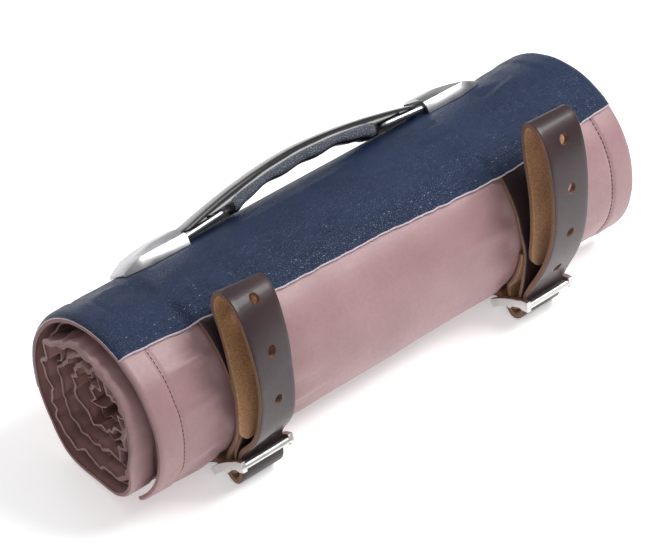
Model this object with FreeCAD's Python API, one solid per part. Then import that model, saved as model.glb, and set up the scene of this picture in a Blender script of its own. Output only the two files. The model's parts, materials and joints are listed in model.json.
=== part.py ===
import FreeCAD, Part
import math
import os
from FreeCAD import Vector

# A rolled-up leather tool roll with a carrying handle and two buckled straps.
# The roll's axis runs along X. In a cross-section an angle is counted from the top of the roll,
# positive towards the back (+Y) and negative towards the front (-Y), where the buckles are.
# Lengths are in mm and angles in degrees.

# Roll
ROLL_LENGTH = 305.0
ROLL_RADIUS = 47.0
ROLL_SAG = 6.0             # how far the underside is pressed flat
SAG_SHARPNESS = 24.0       # larger makes a sharper corner between the flat and the round
COVER_T = 2.0
LINING_T = 1.2
FLAP_T = 1.1
FLAP_WIDTH = 85.0
COIL_PITCH = 8.6           # from one turn of the cover to the next
COIL_TURNS = 4.8
COIL_START = -140.0        # angle of the cover's free outer edge
STEP_START = 0.8           # part of a turn after which the cover steps in under its last turn
STEP_LENGTH = 0.3
GAP = 0.15                 # between pieces that lie on each other
LINING_GAP = 2.4           # room between cover and lining for the handle's fixings
LINING_INSET = 4.0         # from the cover's ends
COIL_SPACING = 2.5         # between the points that a coiled sheet is drawn through

# Handle panel
PANEL_T = 1.6
PANEL_FRONT = -34.0
PANEL_BACK = 108.0

# Straps
STRAP_WIDTH = 25.4
STRAP_T = 2.8
CHAPE_T = 2.2              # the short strap that holds the buckle
TAB_T = 0.7                # a strap's end, thinned to lie under the panel
TAB_LENGTH = 12.0
RAMP_LENGTH = 7.0
HOLE_RADIUS = 2.75
HOLE_PITCH = 25.0
HOLE_COUNT = 5              # besides the one on the prong
TIP_MARGIN = 12.0           # uncut leather beyond the last hole
REST_DEPTH = 0.1            # of the flat that a strap's underside is pressed to

# Buckle: bars run along X
BAR_RADIUS = 1.8
FRONT_BAR = (3.2, 2.4)     # along the buckle and through it
FRONT_BAR_ROUND = 0.9
BUCKLE_REACH = 11.4        # centre bar to either outer bar
BUCKLE_SLOPE = 38.0        # of the buckle's plane against the floor
SIDE_T = 2.5
SIDE_DEPTH = 4.0
STRAP_PLAY = 0.6           # at each edge of the strap inside the buckle
LOW_BAR_ANGLE = -138.9     # of the buckle's lower bar around the roll
BAR_CLEARANCE = 0.35
PRONG_RADIUS = 1.1
PRONG_WIDTH = 3.2
PRONG_EYE_WALL = 1.4
PRONG_PLAY = 0.06          # radial, on the centre bar
PRONG_NOTCH = 1.0
PRONG_TIP_GAP = 0.5        # over the notch, with the prong at rest
CHAPE_SLOT = 5.2
RIVET_RADIUS = 1.6
RIVET_HEAD = (3.0, 0.8)    # radius and height
RIVET_ANGLE = -99.0
RIVET_PLAY = 0.05
CHAPE_TIP = -92.0

# Handle
HANDLE_ANGLE = 38.0
GRIP_HALF_LENGTH = 76.0
GRIP_HALF_WIDTH = 9.0
GRIP_WEB = 5.1             # half width between the links' arms
GRIP_RISE = 15.75          # crown of the grip above the panel
GRIP_END_RISE = 5.25
FINGER_GAP = 5.9
FINGER_HALF_LENGTH = 42.0
GRIP_REST_GAP = 0.35
PAD_T = 1.2
PAD_MARGIN = 1.6
CAP_LENGTH = 36.5
CAP_HALF_WIDTH = 11.0
CAP_RISE = 7.4
CAP_MOUTH_GAP = 0.5
LINK_WIRE = 1.6            # radius
LINK_LENGTH = 28.0
LINK_HALF_WIDTH = 7.2
LINK_CORNER = 2.6
LINK_REST = 4.1            # angle of the links when the grip is down
LINK_LIFTED = 34.8
PIVOT_INSET = 3.0          # crossbar's axis beyond the grip's end
PIVOT_RISE = 2.25          # crossbar's axis above the panel
LINK_CLEARANCE = 0.5
SCREW_RADIUS = 1.5
SCREW_PLAY = 0.1
SCREW_HEAD = (2.8, 1.0)
SCREW_DEPTH = 2.4          # into the cap
SCREW_INSETS = (10.5, 27.0)
PLATE_T = 1.0
PLATE_LENGTH = 30.0
PLATE_WIDTH = 20.0

# Sizes that follow
AXIS_Z = STRAP_T + GAP + ROLL_RADIUS - ROLL_SAG
PANEL_RADIUS = ROLL_RADIUS + GAP + PANEL_T
SHOULDER = STRAP_WIDTH / 2 + STRAP_PLAY
WRAP = BAR_RADIUS + GAP                       # inner radius of leather bent round a bar
CHAPE_WRAP = WRAP + CHAPE_T / 2
CHAPE_RHO = ROLL_RADIUS + GAP + CHAPE_T / 2   # middle of a chape ply that lies on the roll
PLY_RHO = CHAPE_RHO + CHAPE_T + GAP           # middle of the ply above it
BILLET_OFFSET = GAP + STRAP_T / 2

# Each strap's station along X, the degrees by which its buckle stands off, the distance from the
# prong's hole to the next one, and its folded end: points of its outer run, of the crown of its
# fold and of its inner run, as angle and distance from the roll's surface.
STRAPS = {
    "left": {
        "x": -96.0,
        "stand_off": 0.0,
        "holes_from": 37.8,
        "outer": [(-100, 9.8), (-86, 12.3), (-72, 14.3), (-58, 17.2), (-45, 20.6), (-36, 22.9)],
        "fold": [(-30.5, 22.0), (-27.0, 18.0), (-28.5, 13.0)],
        "inner": [(-36, 10.0), (-48, 8.6), (-62, 7.8), (-77, 7.0), (-91, 6.4)],
    },
    "right": {
        "x": 86.0,
        "stand_off": 12.0,
        "holes_from": 19.0,
        "outer": [(-100, 12.6), (-85, 17.0), (-70, 22.2), (-56, 28.4), (-44, 35.0), (-38, 37.6)],
        "fold": [(-34.0, 37.4), (-31.5, 33.4), (-33.5, 28.0)],
        "inner": [(-42, 20.0), (-54, 14.8), (-67, 10.9), (-79, 8.8), (-91, 7.9)],
    },
}


# ---------------------------------------------------------------- shapes in a cross-section

def outline(angle, radius=ROLL_RADIUS):
    """Distance from the axis to the roll's outline, which is round with a flat underside."""
    flat = 1 - ROLL_SAG / ROLL_RADIUS
    down = max(0.0, -math.cos(math.radians(angle)))
    return radius * (1 + (down / flat) ** SAG_SHARPNESS) ** (-1 / SAG_SHARPNESS)


def around(angle, rho):
    """Point of the cross-section at an angle from the top and a distance from the axis."""
    turn = math.radians(angle)
    return (rho * math.sin(turn), AXIS_Z + rho * math.cos(turn))


def angles(first, last, step=10.0):
    """Even angles from first to last, both included."""
    count = max(1, math.ceil(abs(last - first) / step))
    return [first + (last - first) * i / count for i in range(count + 1)]


def spline(points):
    """Smooth curve through points of the cross-section."""
    curve = Part.BSplineCurve()
    curve.interpolate([Vector(0, y, z) for y, z in points])
    return curve


def ribbon(points, low, high, x_low, x_high, spacing=1.5):
    """Strip of sheet that follows a path, between two offsets from it, from x_low to x_high.

    low and high are distances to the path's left, looking from +X; high may be a function of
    the distance from the path's start and of its whole length.
    """
    path = spline(points).toShape()
    count = max(12, int(path.Length / spacing))
    middle = path.discretize(Number=count)
    sides = {"low": [], "high": []}
    for i, point in enumerate(middle):
        tangent = middle[min(i + 1, count - 1)] - middle[max(i - 1, 0)]
        tangent.normalize()
        left = Vector(0, -tangent.z, tangent.y)
        done = path.Length * i / (count - 1)
        top = high(done, path.Length) if callable(high) else high
        sides["low"].append(point + left * low)
        sides["high"].append(point + left * top)
    edges = [spline([(p.y, p.z) for p in side]).toShape() for side in sides.values()]
    for end in (0, -1):
        edges.append(Part.makeLine(sides["low"][end], sides["high"][end]))
    face = Part.Face(Part.Wire(Part.__sortEdges__(edges)))
    face.translate(Vector(x_low, 0, 0))
    return face.extrude(Vector(x_high - x_low, 0, 0))


def slab(points, x_low, x_high):
    """Solid with a polygon of the cross-section, from x_low to x_high."""
    corners = [Vector(x_low, y, z) for y, z in points]
    face = Part.Face(Part.makePolygon(corners + corners[:1]))
    return face.extrude(Vector(x_high - x_low, 0, 0))


def rod(x_low, x_high, centre, radius):
    """Cylinder along X."""
    start = Vector(x_low, centre[0], centre[1])
    return Part.makeCylinder(radius, x_high - x_low, start, Vector(1, 0, 0))


def pin(x, start, toward, radius, length):
    """Cylinder in the cross-section at x, from start in the direction toward."""
    return Part.makeCylinder(
        radius, length, Vector(x, start[0], start[1]), Vector(0, toward[0], toward[1])
    )


# ---------------------------------------------------------------- roll

def coil_drop(turns):
    """How far the cover's outer side has stepped in from the outline after some turns."""
    past = turns - STEP_START
    if past <= 0:
        return 0.0
    whole = math.floor(past)
    return COIL_PITCH * (whole + min(1.0, (past - whole) / STEP_LENGTH))


def coil_points(first_turn, last_turn):
    """Outer side of the cover, from its free edge inwards."""
    points = []
    for turned in angles(first_turn * 360, last_turn * 360, 15.0):
        angle = COIL_START + turned
        points.append(around(angle, outline(angle, ROLL_RADIUS - coil_drop(turned / 360))))
    return points


def make_cover():
    half = ROLL_LENGTH / 2
    return ribbon(coil_points(0, COIL_TURNS), -COVER_T, 0, -half, half, COIL_SPACING)


def make_lining():
    """Inner sheet with the tool pockets, sewn to the cover along its edges."""
    outer = COVER_T + LINING_GAP
    half = ROLL_LENGTH / 2 - LINING_INSET
    path = coil_points(0.06, COIL_TURNS - 0.4)
    return ribbon(path, -outer - LINING_T, -outer, -half, half, COIL_SPACING)


def make_flap():
    """Flap that folds over the tools, inside the lining at the right end."""
    outer = COVER_T + LINING_GAP + LINING_T + GAP
    end = ROLL_LENGTH / 2 - LINING_INSET
    path = coil_points(0.35, COIL_TURNS - 0.6)
    return ribbon(path, -outer - FLAP_T, -outer, end - FLAP_WIDTH, end, COIL_SPACING)


def on_outline(first, last, offset):
    """Path at a distance outside the roll's outline."""
    points = []
    for angle in angles(first, last):
        here = around(angle, outline(angle))
        ahead = around(angle + 0.5, outline(angle + 0.5))
        run = math.hypot(ahead[0] - here[0], ahead[1] - here[1])
        normal = (-(ahead[1] - here[1]) / run, (ahead[0] - here[0]) / run)
        points.append((here[0] + offset * normal[0], here[1] + offset * normal[1]))
    return points


def arc_angle(length, radius=ROLL_RADIUS):
    """Angle that an arc of this length covers."""
    return math.degrees(length / radius)


def make_panel():
    half = ROLL_LENGTH / 2
    panel = ribbon(on_outline(PANEL_FRONT, PANEL_BACK, 0), GAP, GAP + PANEL_T, -half, half)
    tab_angle = arc_angle(TAB_LENGTH + 1.0)
    for strap in STRAPS.values():
        for edge, inward in ((PANEL_FRONT, 1), (PANEL_BACK, -1)):
            # The panel is hollowed for the strap's thinned end.
            near, far = sorted((edge - 3 * inward, edge + inward * tab_angle))
            room = ribbon(
                on_outline(near, far, 0), -1.0, TAB_T + 3 * GAP,
                strap["x"] - STRAP_WIDTH / 2 - GAP, strap["x"] + STRAP_WIDTH / 2 + GAP,
            )
            panel = panel.cut(room)
    return panel


# ---------------------------------------------------------------- buckle and straps

class Station:
    """Where a buckle sits in its cross-section, and directions along and out of it."""

    def __init__(self, strap):
        self.x = strap["x"]
        slope = math.radians(BUCKLE_SLOPE - strap["stand_off"])
        self.along = (-math.cos(slope), math.sin(slope))
        self.out = (-math.sin(slope), -math.cos(slope))
        room = 2 * GAP + STRAP_T + BAR_RADIUS
        self.low = on_outline(LOW_BAR_ANGLE, LOW_BAR_ANGLE + 1, room + BAR_CLEARANCE)[0]
        self.centre = self.shift(self.low, BUCKLE_REACH, 0)
        self.front = self.at(BUCKLE_REACH, 0)

    def shift(self, point, along, out):
        return tuple(p + along * a + out * o for p, a, o in zip(point, self.along, self.out))

    def at(self, along, out):
        """Point by its distance along the buckle, towards the front bar, and out of it."""
        return self.shift(self.centre, along, out)

    def front_angle(self):
        return math.degrees(math.atan2(self.front[0], self.front[1] - AXIS_Z))

    def front_rho(self, depth):
        """Distance from the axis of a ply whose middle lies depth behind the front bar's middle."""
        return math.hypot(self.front[0], self.front[1] - AXIS_Z) - depth


def thinned(thickness, at_end):
    """Far side of a strap whose one end is thinned to a tab."""
    def high(done, whole):
        left = whole - done if at_end else done
        part = min(1.0, max(0.0, (left - TAB_LENGTH) / RAMP_LENGTH))
        ease = part * part * (3 - 2 * part)
        return -thickness / 2 + TAB_T + (thickness - TAB_T) * ease
    return high


def ply_depths():
    """Depths behind the front bar's middle of the billet and of the chape's outer ply."""
    billet = FRONT_BAR[1] / 2 + 2 * GAP + STRAP_T / 2
    chape = billet + STRAP_T / 2 + CHAPE_T / 2 + 2 * GAP
    return billet, chape


def chape_path(station):
    """From the tip of the inner ply, round the centre bar, and up the front to the panel."""
    depth = ply_depths()[1]
    turn = station.front_angle()
    rise = max(PLY_RHO, station.front_rho(depth) - 1.1)
    inner = [around(angle, CHAPE_RHO) for angle in angles(CHAPE_TIP, turn - 4, 6.0)]
    wrap = [
        station.at(CHAPE_WRAP * math.cos(math.radians(a)), CHAPE_WRAP * math.sin(math.radians(a)))
        for a in (-130, -170, -210, -250, -290)
    ]
    outer = [
        station.at(0.47 * BUCKLE_REACH, -1.8),
        around(turn + 1, rise),
        around(CHAPE_TIP - 5, PLY_RHO + 0.6),
        around(CHAPE_TIP + 6, CHAPE_RHO + 1.8),
    ]
    top = PANEL_FRONT + arc_angle(TAB_LENGTH)
    return inner + wrap + outer + [around(a, CHAPE_RHO) for a in angles(CHAPE_TIP + 17, top, 8.0)]


def make_chape(strap):
    station = Station(strap)
    x_low = strap["x"] - STRAP_WIDTH / 2
    high = thinned(CHAPE_T, True)
    chape = ribbon(
        chape_path(station), -CHAPE_T / 2, high, x_low, x_low + STRAP_WIDTH, 0.8
    )
    # The slot that lets the prong's eye sit on the bar.
    side = CHAPE_WRAP + CHAPE_T
    slot = [station.at(a * side, o * side) for a, o in ((-1, -1), (1.05, -1), (1.05, 1), (-1, 1))]
    chape = chape.cut(slab(slot, station.x - CHAPE_SLOT / 2, station.x + CHAPE_SLOT / 2))
    start, toward, length = rivet_axis(station)
    return chape.cut(pin(station.x, start, toward, RIVET_RADIUS + RIVET_PLAY, length + CHAPE_T))


def rivet_axis(station):
    """Foot of a chape's rivet on the roll, its direction outwards and its length to its head."""
    start = around(RIVET_ANGLE, ROLL_RADIUS + GAP)
    outer = around(RIVET_ANGLE, ROLL_RADIUS + GAP + 1)
    toward = (outer[0] - start[0], outer[1] - start[1])
    highest = 0.0
    for point in spline(chape_path(station)).toShape().discretize(Number=600):
        away = (point.y - start[0], point.z - start[1])
        along = away[0] * toward[0] + away[1] * toward[1]
        aside = abs(away[0] * toward[1] - away[1] * toward[0])
        if along > 0 and aside < RIVET_HEAD[0] + CHAPE_T / 2:
            highest = max(highest, along)
    return start, toward, highest + CHAPE_T / 2 + RIVET_PLAY


def make_chape_rivets():
    """One flat-headed rivet through both plies of each chape."""
    rivets = []
    for strap in STRAPS.values():
        start, toward, length = rivet_axis(Station(strap))
        shank = pin(strap["x"], start, toward, RIVET_RADIUS, length)
        seat = (start[0] + toward[0] * length, start[1] + toward[1] * length)
        head = pin(strap["x"], seat, toward, RIVET_HEAD[0], RIVET_HEAD[1])
        rivets.append(shank.fuse(head))
    return Part.makeCompound(rivets)


def billet_path(strap):
    """From the panel's back edge round the roll, through the buckle, to the folded free end."""
    station = Station(strap)
    start = PANEL_BACK - arc_angle(TAB_LENGTH)
    low_turn = 360 + LOW_BAR_ANGLE
    points = on_outline(start, low_turn, BILLET_OFFSET)
    depth = ply_depths()[0]
    bulge = CHAPE_WRAP + CHAPE_T / 2 + STRAP_T / 2 + 2.1
    points += [
        station.at(-0.62 * BUCKLE_REACH, -0.9),
        station.at(-0.24 * BUCKLE_REACH, bulge),
        station.at(0.24 * BUCKLE_REACH, 0.86 * bulge),
        station.at(0.60 * BUCKLE_REACH, 1.2),
        station.at(BUCKLE_REACH, -depth - 1.9),
    ]
    for run in ("outer", "fold", "inner"):
        points += [around(angle, ROLL_RADIUS + height) for angle, height in strap[run]]
    return points


def hole_cutter(x, samples, index):
    """Cylinder square to the strap at a sample of its path."""
    tangent = samples[index + 1] - samples[index - 1]
    tangent.normalize()
    normal = Vector(0, -tangent.z, tangent.y)
    start = samples[index] - normal * STRAP_T
    start.x = x
    return Part.makeCylinder(HOLE_RADIUS, 2 * STRAP_T, start, normal)


def hole_places(strap, samples):
    """Numbers of the samples where a billet is punched; samples lie evenly along its path."""
    target = Station(strap).at(-0.60 * BUCKLE_REACH, 1.6)
    target = Vector(0, target[0], target[1])
    prong_at = min(range(len(samples)), key=lambda i: samples[i].distanceToPoint(target))
    step = sum(a.distanceToPoint(b) for a, b in zip(samples, samples[1:])) / (len(samples) - 1)
    runs = [0.0] + [strap["holes_from"] + HOLE_PITCH * number for number in range(HOLE_COUNT)]
    places = [prong_at + round(run / step) for run in runs]
    return [place for place in places if place < len(samples) - TIP_MARGIN / step]


def make_billet(strap):
    path = billet_path(strap)
    x_low = strap["x"] - STRAP_WIDTH / 2
    high = thinned(STRAP_T, False)
    billet = ribbon(path, -STRAP_T / 2, high, x_low, x_low + STRAP_WIDTH, 0.9)
    samples = spline(path).toShape().discretize(Number=1600)
    for index in hole_places(strap, samples):
        billet = billet.cut(hole_cutter(strap["x"], samples, index))
    # The underside is pressed flat where the roll's weight rests on it.
    box = billet.BoundBox
    worn = Part.makeBox(
        STRAP_WIDTH + 2, 2 * ROLL_RADIUS, 2 * REST_DEPTH,
        Vector(x_low - 1, -ROLL_RADIUS, box.ZMin - REST_DEPTH),
    )
    return billet.cut(worn)


def make_buckle(strap):
    """Centre-bar buckle: two arched sides and three bars, cast as one piece."""
    station = Station(strap)
    left, right = station.x - SHOULDER - SIDE_T, station.x + SHOULDER + SIDE_T
    half = SIDE_DEPTH / 2
    arch = [
        station.at(BUCKLE_REACH + FRONT_BAR[0] / 2, 0),
        station.at(0.5 * BUCKLE_REACH, -1.3),
        station.at(0, -1.4),
        station.at(-0.5 * BUCKLE_REACH, -1.0),
        station.at(-BUCKLE_REACH - BAR_RADIUS, 0.2),
    ]
    sides = [
        ribbon(arch, -half, half, x, x + SIDE_T, 1.0) for x in (left, right - SIDE_T)
    ]
    corners = [
        station.at(BUCKLE_REACH + a * FRONT_BAR[0] / 2, o * FRONT_BAR[1] / 2)
        for a, o in ((-1, -1), (1, -1), (1, 1), (-1, 1))
    ]
    front = slab(corners, left, right)
    edges = [e for e in front.Edges if abs(e.Length - (right - left)) < 1e-6]
    front = front.makeFillet(FRONT_BAR_ROUND, edges)
    buckle = front.multiFuse(
        sides + [rod(left, right, station.centre, BAR_RADIUS), rod(left, right, station.low, BAR_RADIUS)]
    )
    # The lower bar is notched where the prong's tip rests on it.
    edge = BAR_RADIUS - PRONG_NOTCH
    notch = [
        station.at(-BUCKLE_REACH + a, o)
        for a, o in ((-2.5, edge), (2.5, edge), (2.5, 3.0), (-2.5, 3.0))
    ]
    room = PRONG_RADIUS + 0.4
    return buckle.cut(slab(notch, station.x - room, station.x + room)).removeSplitter()


def prong_rest():
    """How far out the prong's middle lies over the lower bar."""
    return BAR_RADIUS - PRONG_NOTCH + PRONG_RADIUS + PRONG_TIP_GAP


def make_prong(strap):
    """Buckle tongue: an eye round the centre bar and a pin through the billet's hole."""
    station = Station(strap)
    inner = BAR_RADIUS + PRONG_PLAY
    low, high = station.x - PRONG_WIDTH / 2, station.x + PRONG_WIDTH / 2
    start = station.at(-inner - 0.5 * PRONG_EYE_WALL, 1.0)
    tip = station.at(-BUCKLE_REACH - 1.1, prong_rest())
    run = Vector(0, tip[0] - start[0], tip[1] - start[1])
    shank = Part.makeCylinder(PRONG_RADIUS, run.Length, Vector(station.x, start[0], start[1]), run)
    eye = rod(low, high, station.centre, inner + PRONG_EYE_WALL)
    bore = rod(low - 1, high + 1, station.centre, inner)
    return eye.fuse(shank).cut(bore).removeSplitter()


# ---------------------------------------------------------------- handle

# The handle is modelled standing on top of the roll's axis, with its height along +Z from the
# axis, and is then turned to its place on the panel.

def place_handle(shape):
    placed = shape.copy()
    placed.rotate(Vector(0, 0, 0), Vector(1, 0, 0), -HANDLE_ANGLE)
    placed.translate(Vector(0, 0, AXIS_Z))
    return placed


def side_face(points, y):
    """Closed face in the handle's length-height plane, straight between the points."""
    corners = [Vector(px, y, pz) for px, pz in points]
    return Part.Face(Part.makePolygon(corners + corners[:1]))


def side_prism(points, half_width):
    return side_face(points, -half_width).extrude(Vector(0, 2 * half_width, 0))


def block(x_low, x_high, half_width, z_low, z_high):
    return Part.makeBox(
        x_high - x_low, 2 * half_width, z_high - z_low, Vector(x_low, -half_width, z_low)
    )


def axis_cylinder(radius):
    """Cylinder on the roll's axis, longer than the handle."""
    reach = GRIP_HALF_LENGTH + CAP_LENGTH + 20
    return Part.makeCylinder(radius, 2 * reach, Vector(-reach, 0, 0), Vector(1, 0, 0))


def grip_top(x):
    """Height of the grip's crown line above the axis at a place along it."""
    part = abs(x) / GRIP_HALF_LENGTH
    fall = part ** 1.75
    return PANEL_RADIUS + GRIP_RISE - (GRIP_RISE - GRIP_END_RISE) * fall


def grip_bottom(x):
    """Height of the finger side, arched over the finger gap."""
    part = min(1.0, abs(x) / FINGER_HALF_LENGTH)
    return PANEL_RADIUS + FINGER_GAP * (1 - part ** 4) + GRIP_REST_GAP


def grip_profile(shrink=0.0):
    """Points of the grip's outline in the length-height plane, made narrower by shrink."""
    end = GRIP_HALF_LENGTH - shrink
    tops = [(x, grip_top(x) - shrink) for x in [end * i / 10 for i in range(-10, 11)]]
    inner = FINGER_HALF_LENGTH
    lows = [(x, grip_bottom(x) + shrink) for x in [inner * i / 12 for i in range(12, -13, -1)]]
    foot = PANEL_RADIUS - 1.5 + shrink
    return tops, lows, foot


def curve_through(points, y):
    curve = Part.BSplineCurve()
    curve.interpolate([Vector(px, y, pz) for px, pz in points])
    return curve.toShape()


def grip_body(shrink, half_width):
    tops, lows, foot = grip_profile(shrink)
    y = -half_width
    corners = [(tops[-1][0], foot), (lows[0][0] + shrink, foot), lows[0]]
    edges = [curve_through(tops, y), curve_through(lows, y)]
    chain = [tops[-1]] + corners
    for side in (1, -1):
        for a, b in zip(chain, chain[1:]):
            edges.append(Part.makeLine(Vector(side * a[0], y, a[1]), Vector(side * b[0], y, b[1])))
    face = Part.Face(Part.Wire(Part.__sortEdges__(edges)))
    return face.extrude(Vector(0, 2 * half_width, 0))


def pivot():
    """Crossbar's axis: distance along the handle and height above the roll's axis."""
    return GRIP_HALF_LENGTH + PIVOT_INSET, PANEL_RADIUS + PIVOT_RISE


def link_bar(angle):
    """Axis of a link's inner bar when the link stands at an angle."""
    x, z = pivot()
    turn = math.radians(angle)
    return x - LINK_LENGTH * math.cos(turn), z + LINK_LENGTH * math.sin(turn)


def grip_travel():
    return link_bar(LINK_LIFTED)[1] - link_bar(LINK_REST)[1]


def pad_zone(sign, depth):
    """Where a textured pad lies in one side of the grip."""
    zone = grip_body(PAD_MARGIN, GRIP_HALF_WIDTH)
    limit = link_bar(LINK_REST)[0] - LINK_WIRE - LINK_CLEARANCE - 5.0
    low = GRIP_HALF_WIDTH - depth
    box = Part.makeBox(
        2 * limit, depth, 60, Vector(-limit, low if sign > 0 else -GRIP_HALF_WIDTH, PANEL_RADIUS)
    )
    return zone.common(box)


def make_grip_shell():
    shell = grip_body(0.0, GRIP_HALF_WIDTH)
    shell = shell.cut(axis_cylinder(PANEL_RADIUS + GRIP_REST_GAP))
    bar_x, bar_z = link_bar(LINK_REST)
    x, z = pivot()
    slot_end = link_bar(LINK_LIFTED)[0] + LINK_WIRE + 4.0
    slot_start = bar_x - LINK_WIRE - LINK_CLEARANCE - 2.5
    room = LINK_WIRE + LINK_CLEARANCE
    for side in (1, -1):
        # Open channels beside the web for the link's arms, and a slot through the web for its bar.
        arm = [
            (side * slot_start, 0), (side * slot_start, bar_z + room),
            (side * (x + 5), z + room), (side * (x + 5), 0),
        ]
        channel = side_prism(arm, GRIP_HALF_WIDTH + 1)
        channel = channel.cut(block(-x - 9, x + 9, GRIP_WEB, 0, 2 * PANEL_RADIUS))
        low, high = sorted((side * slot_start, side * slot_end))
        slot = block(low, high, GRIP_HALF_WIDTH + 1, bar_z - room, bar_z + room)
        shell = shell.cut(channel).cut(slot)
    for sign in (1, -1):
        shell = shell.cut(pad_zone(sign, PAD_T))
    return place_handle(shell.removeSplitter())


def make_grip_pad(sign):
    """Textured side pad, glued into the shell's recess."""
    return place_handle(pad_zone(sign, PAD_T - GAP / 3))


def link_path():
    """Closed rounded rectangle: crossbar, two arms and inner bar, as it lies with the grip down."""
    wide, corner = LINK_HALF_WIDTH, LINK_CORNER
    near = -LINK_LENGTH
    centres = [
        (-corner, wide - corner, 0), (near + corner, wide - corner, 90),
        (near + corner, corner - wide, 180), (-corner, corner - wide, 270),
    ]
    edges, ends = [], []
    for cx, cy, first in centres:
        points = []
        for turn in (first, first + 45, first + 90):
            a = math.radians(turn)
            points.append(Vector(cx + corner * math.cos(a), cy + corner * math.sin(a), 0))
        ends.append((points[0], points[2]))
        edges.append(Part.Arc(*points).toShape())
    for i in range(4):
        edges.append(Part.makeLine(ends[i][1], ends[(i + 1) % 4][0]))
    return Part.Wire(Part.__sortEdges__(edges))


def make_link(side):
    """Wire ring; side is +1 for the right end."""
    path = link_path()
    start = Vector(0, 0, 0)
    profile = Part.Wire(Part.makeCircle(LINK_WIRE, start, Vector(0, 1, 0)))
    ring = path.makePipeShell([profile], True, False)
    ring.rotate(Vector(0, 0, 0), Vector(0, 1, 0), LINK_REST)
    x, z = pivot()
    ring.translate(Vector(x, 0, z))
    if side < 0:
        ring = ring.mirror(Vector(0, 0, 0), Vector(1, 0, 0))
    return place_handle(ring)


def cap_profile():
    """Domed side outline of a cap, from its mouth to its nose, for the right end."""
    mouth = GRIP_HALF_LENGTH + CAP_MOUTH_GAP
    nose = mouth + CAP_LENGTH
    top = PANEL_RADIUS + CAP_RISE
    low = PANEL_RADIUS - 3
    arch = Part.Arc(
        Vector(mouth, 0, top), Vector(mouth + 0.55 * CAP_LENGTH, 0, top - 0.9),
        Vector(nose, 0, PANEL_RADIUS + 0.9),
    ).toShape()
    corners = [Vector(nose, 0, PANEL_RADIUS + 0.9), Vector(nose, 0, low), Vector(mouth, 0, low),
               Vector(mouth, 0, top)]
    edges = [arch] + [Part.makeLine(a, b) for a, b in zip(corners, corners[1:])]
    face = Part.Face(Part.Wire(Part.__sortEdges__(edges)))
    face.translate(Vector(0, -CAP_HALF_WIDTH, 0))
    return face.extrude(Vector(0, 2 * CAP_HALF_WIDTH, 0))


def cap_section():
    """Faceted cross-section of a cap, with a flat ridge."""
    base, top = PANEL_RADIUS - 3, PANEL_RADIUS + CAP_RISE
    wide = CAP_HALF_WIDTH
    half = [(wide, base), (wide, top - 4.6), (wide - 0.9, top - 2.6), (0.42 * wide, top + 0.1)]
    points = half + [(-y, z) for y, z in reversed(half)]
    corners = [Vector(GRIP_HALF_LENGTH, y, z) for y, z in points]
    face = Part.Face(Part.makePolygon(corners + corners[:1]))
    return face.extrude(Vector(CAP_LENGTH + 5, 0, 0))


def cap_plan():
    """Plan outline of a cap, narrowing to its nose."""
    mouth = GRIP_HALF_LENGTH + CAP_MOUTH_GAP
    nose = mouth + CAP_LENGTH
    wide = CAP_HALF_WIDTH
    points = [
        (mouth, -wide), (mouth + 0.62 * CAP_LENGTH, -wide), (nose, -0.66 * wide),
        (nose, 0.66 * wide), (mouth + 0.62 * CAP_LENGTH, wide), (mouth, wide),
    ]
    corners = [Vector(px, py, PANEL_RADIUS - 4) for px, py in points]
    face = Part.Face(Part.makePolygon(corners + corners[:1]))
    return face.extrude(Vector(0, 0, CAP_RISE + 10))


def screw_places(side):
    mouth = GRIP_HALF_LENGTH + CAP_MOUTH_GAP
    return [side * (mouth + inset) for inset in SCREW_INSETS]


def drill(shape, side, radius):
    """Blind holes for a cap's two screws, a little deeper than the screws reach."""
    top = PANEL_RADIUS + SCREW_DEPTH + 3 * SCREW_PLAY
    for x in screw_places(side):
        foot = plate_radius() - PLATE_T - 1
        shape = shape.cut(Part.makeCylinder(radius, top - foot, Vector(x, 0, foot)))
    return shape


def make_cap(side):
    """Hooded chrome end piece that holds a link's crossbar against the panel."""
    cap = cap_profile().common(cap_section()).common(cap_plan())
    cap = cap.cut(axis_cylinder(PANEL_RADIUS + GAP / 2))
    x, z = pivot()
    room = LINK_WIRE + LINK_CLEARANCE - 0.1
    rise = math.tan(math.radians(LINK_LIFTED))
    mouth = GRIP_HALF_LENGTH - 1
    hood = [
        (mouth, PANEL_RADIUS - 6), (x + room, PANEL_RADIUS - 6), (x + room, z + room),
        (x, z + room), (mouth, z + room + 0.35 + rise * (x - mouth)),
    ]
    cap = cap.cut(side_prism(hood, LINK_HALF_WIDTH + LINK_WIRE + LINK_CLEARANCE))
    cap = drill(cap, 1, SCREW_RADIUS)
    if side < 0:
        cap = cap.mirror(Vector(0, 0, 0), Vector(1, 0, 0))
    return place_handle(cap)


def plate_radius():
    """Outer radius of the backing plates, against the cover's inner side."""
    return ROLL_RADIUS - COVER_T - GAP


def make_backing_plate(side):
    """Curved steel plate inside the cover, under a cap."""
    outer = plate_radius()
    ring = axis_cylinder(outer).cut(axis_cylinder(outer - PLATE_T))
    middle = sum(screw_places(side)) / 2
    half = PLATE_LENGTH / 2
    plate = ring.common(block(middle - half, middle + half, PLATE_WIDTH / 2, 0, PANEL_RADIUS))
    return place_handle(drill(plate, side, SCREW_RADIUS + SCREW_PLAY))


def make_cap_screws():
    screws = []
    top = PANEL_RADIUS + SCREW_DEPTH
    seat = plate_radius() - PLATE_T - GAP
    radius, height = SCREW_HEAD
    for side in (-1, 1):
        for x in screw_places(side):
            foot = Vector(x, 0, seat - height)
            shank = Part.makeCylinder(SCREW_RADIUS - SCREW_PLAY / 2, top - foot.z, foot)
            head = Part.makeCylinder(radius, height, foot)
            screws.append(shank.fuse(head).removeSplitter())
    return place_handle(Part.makeCompound(screws))


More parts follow.
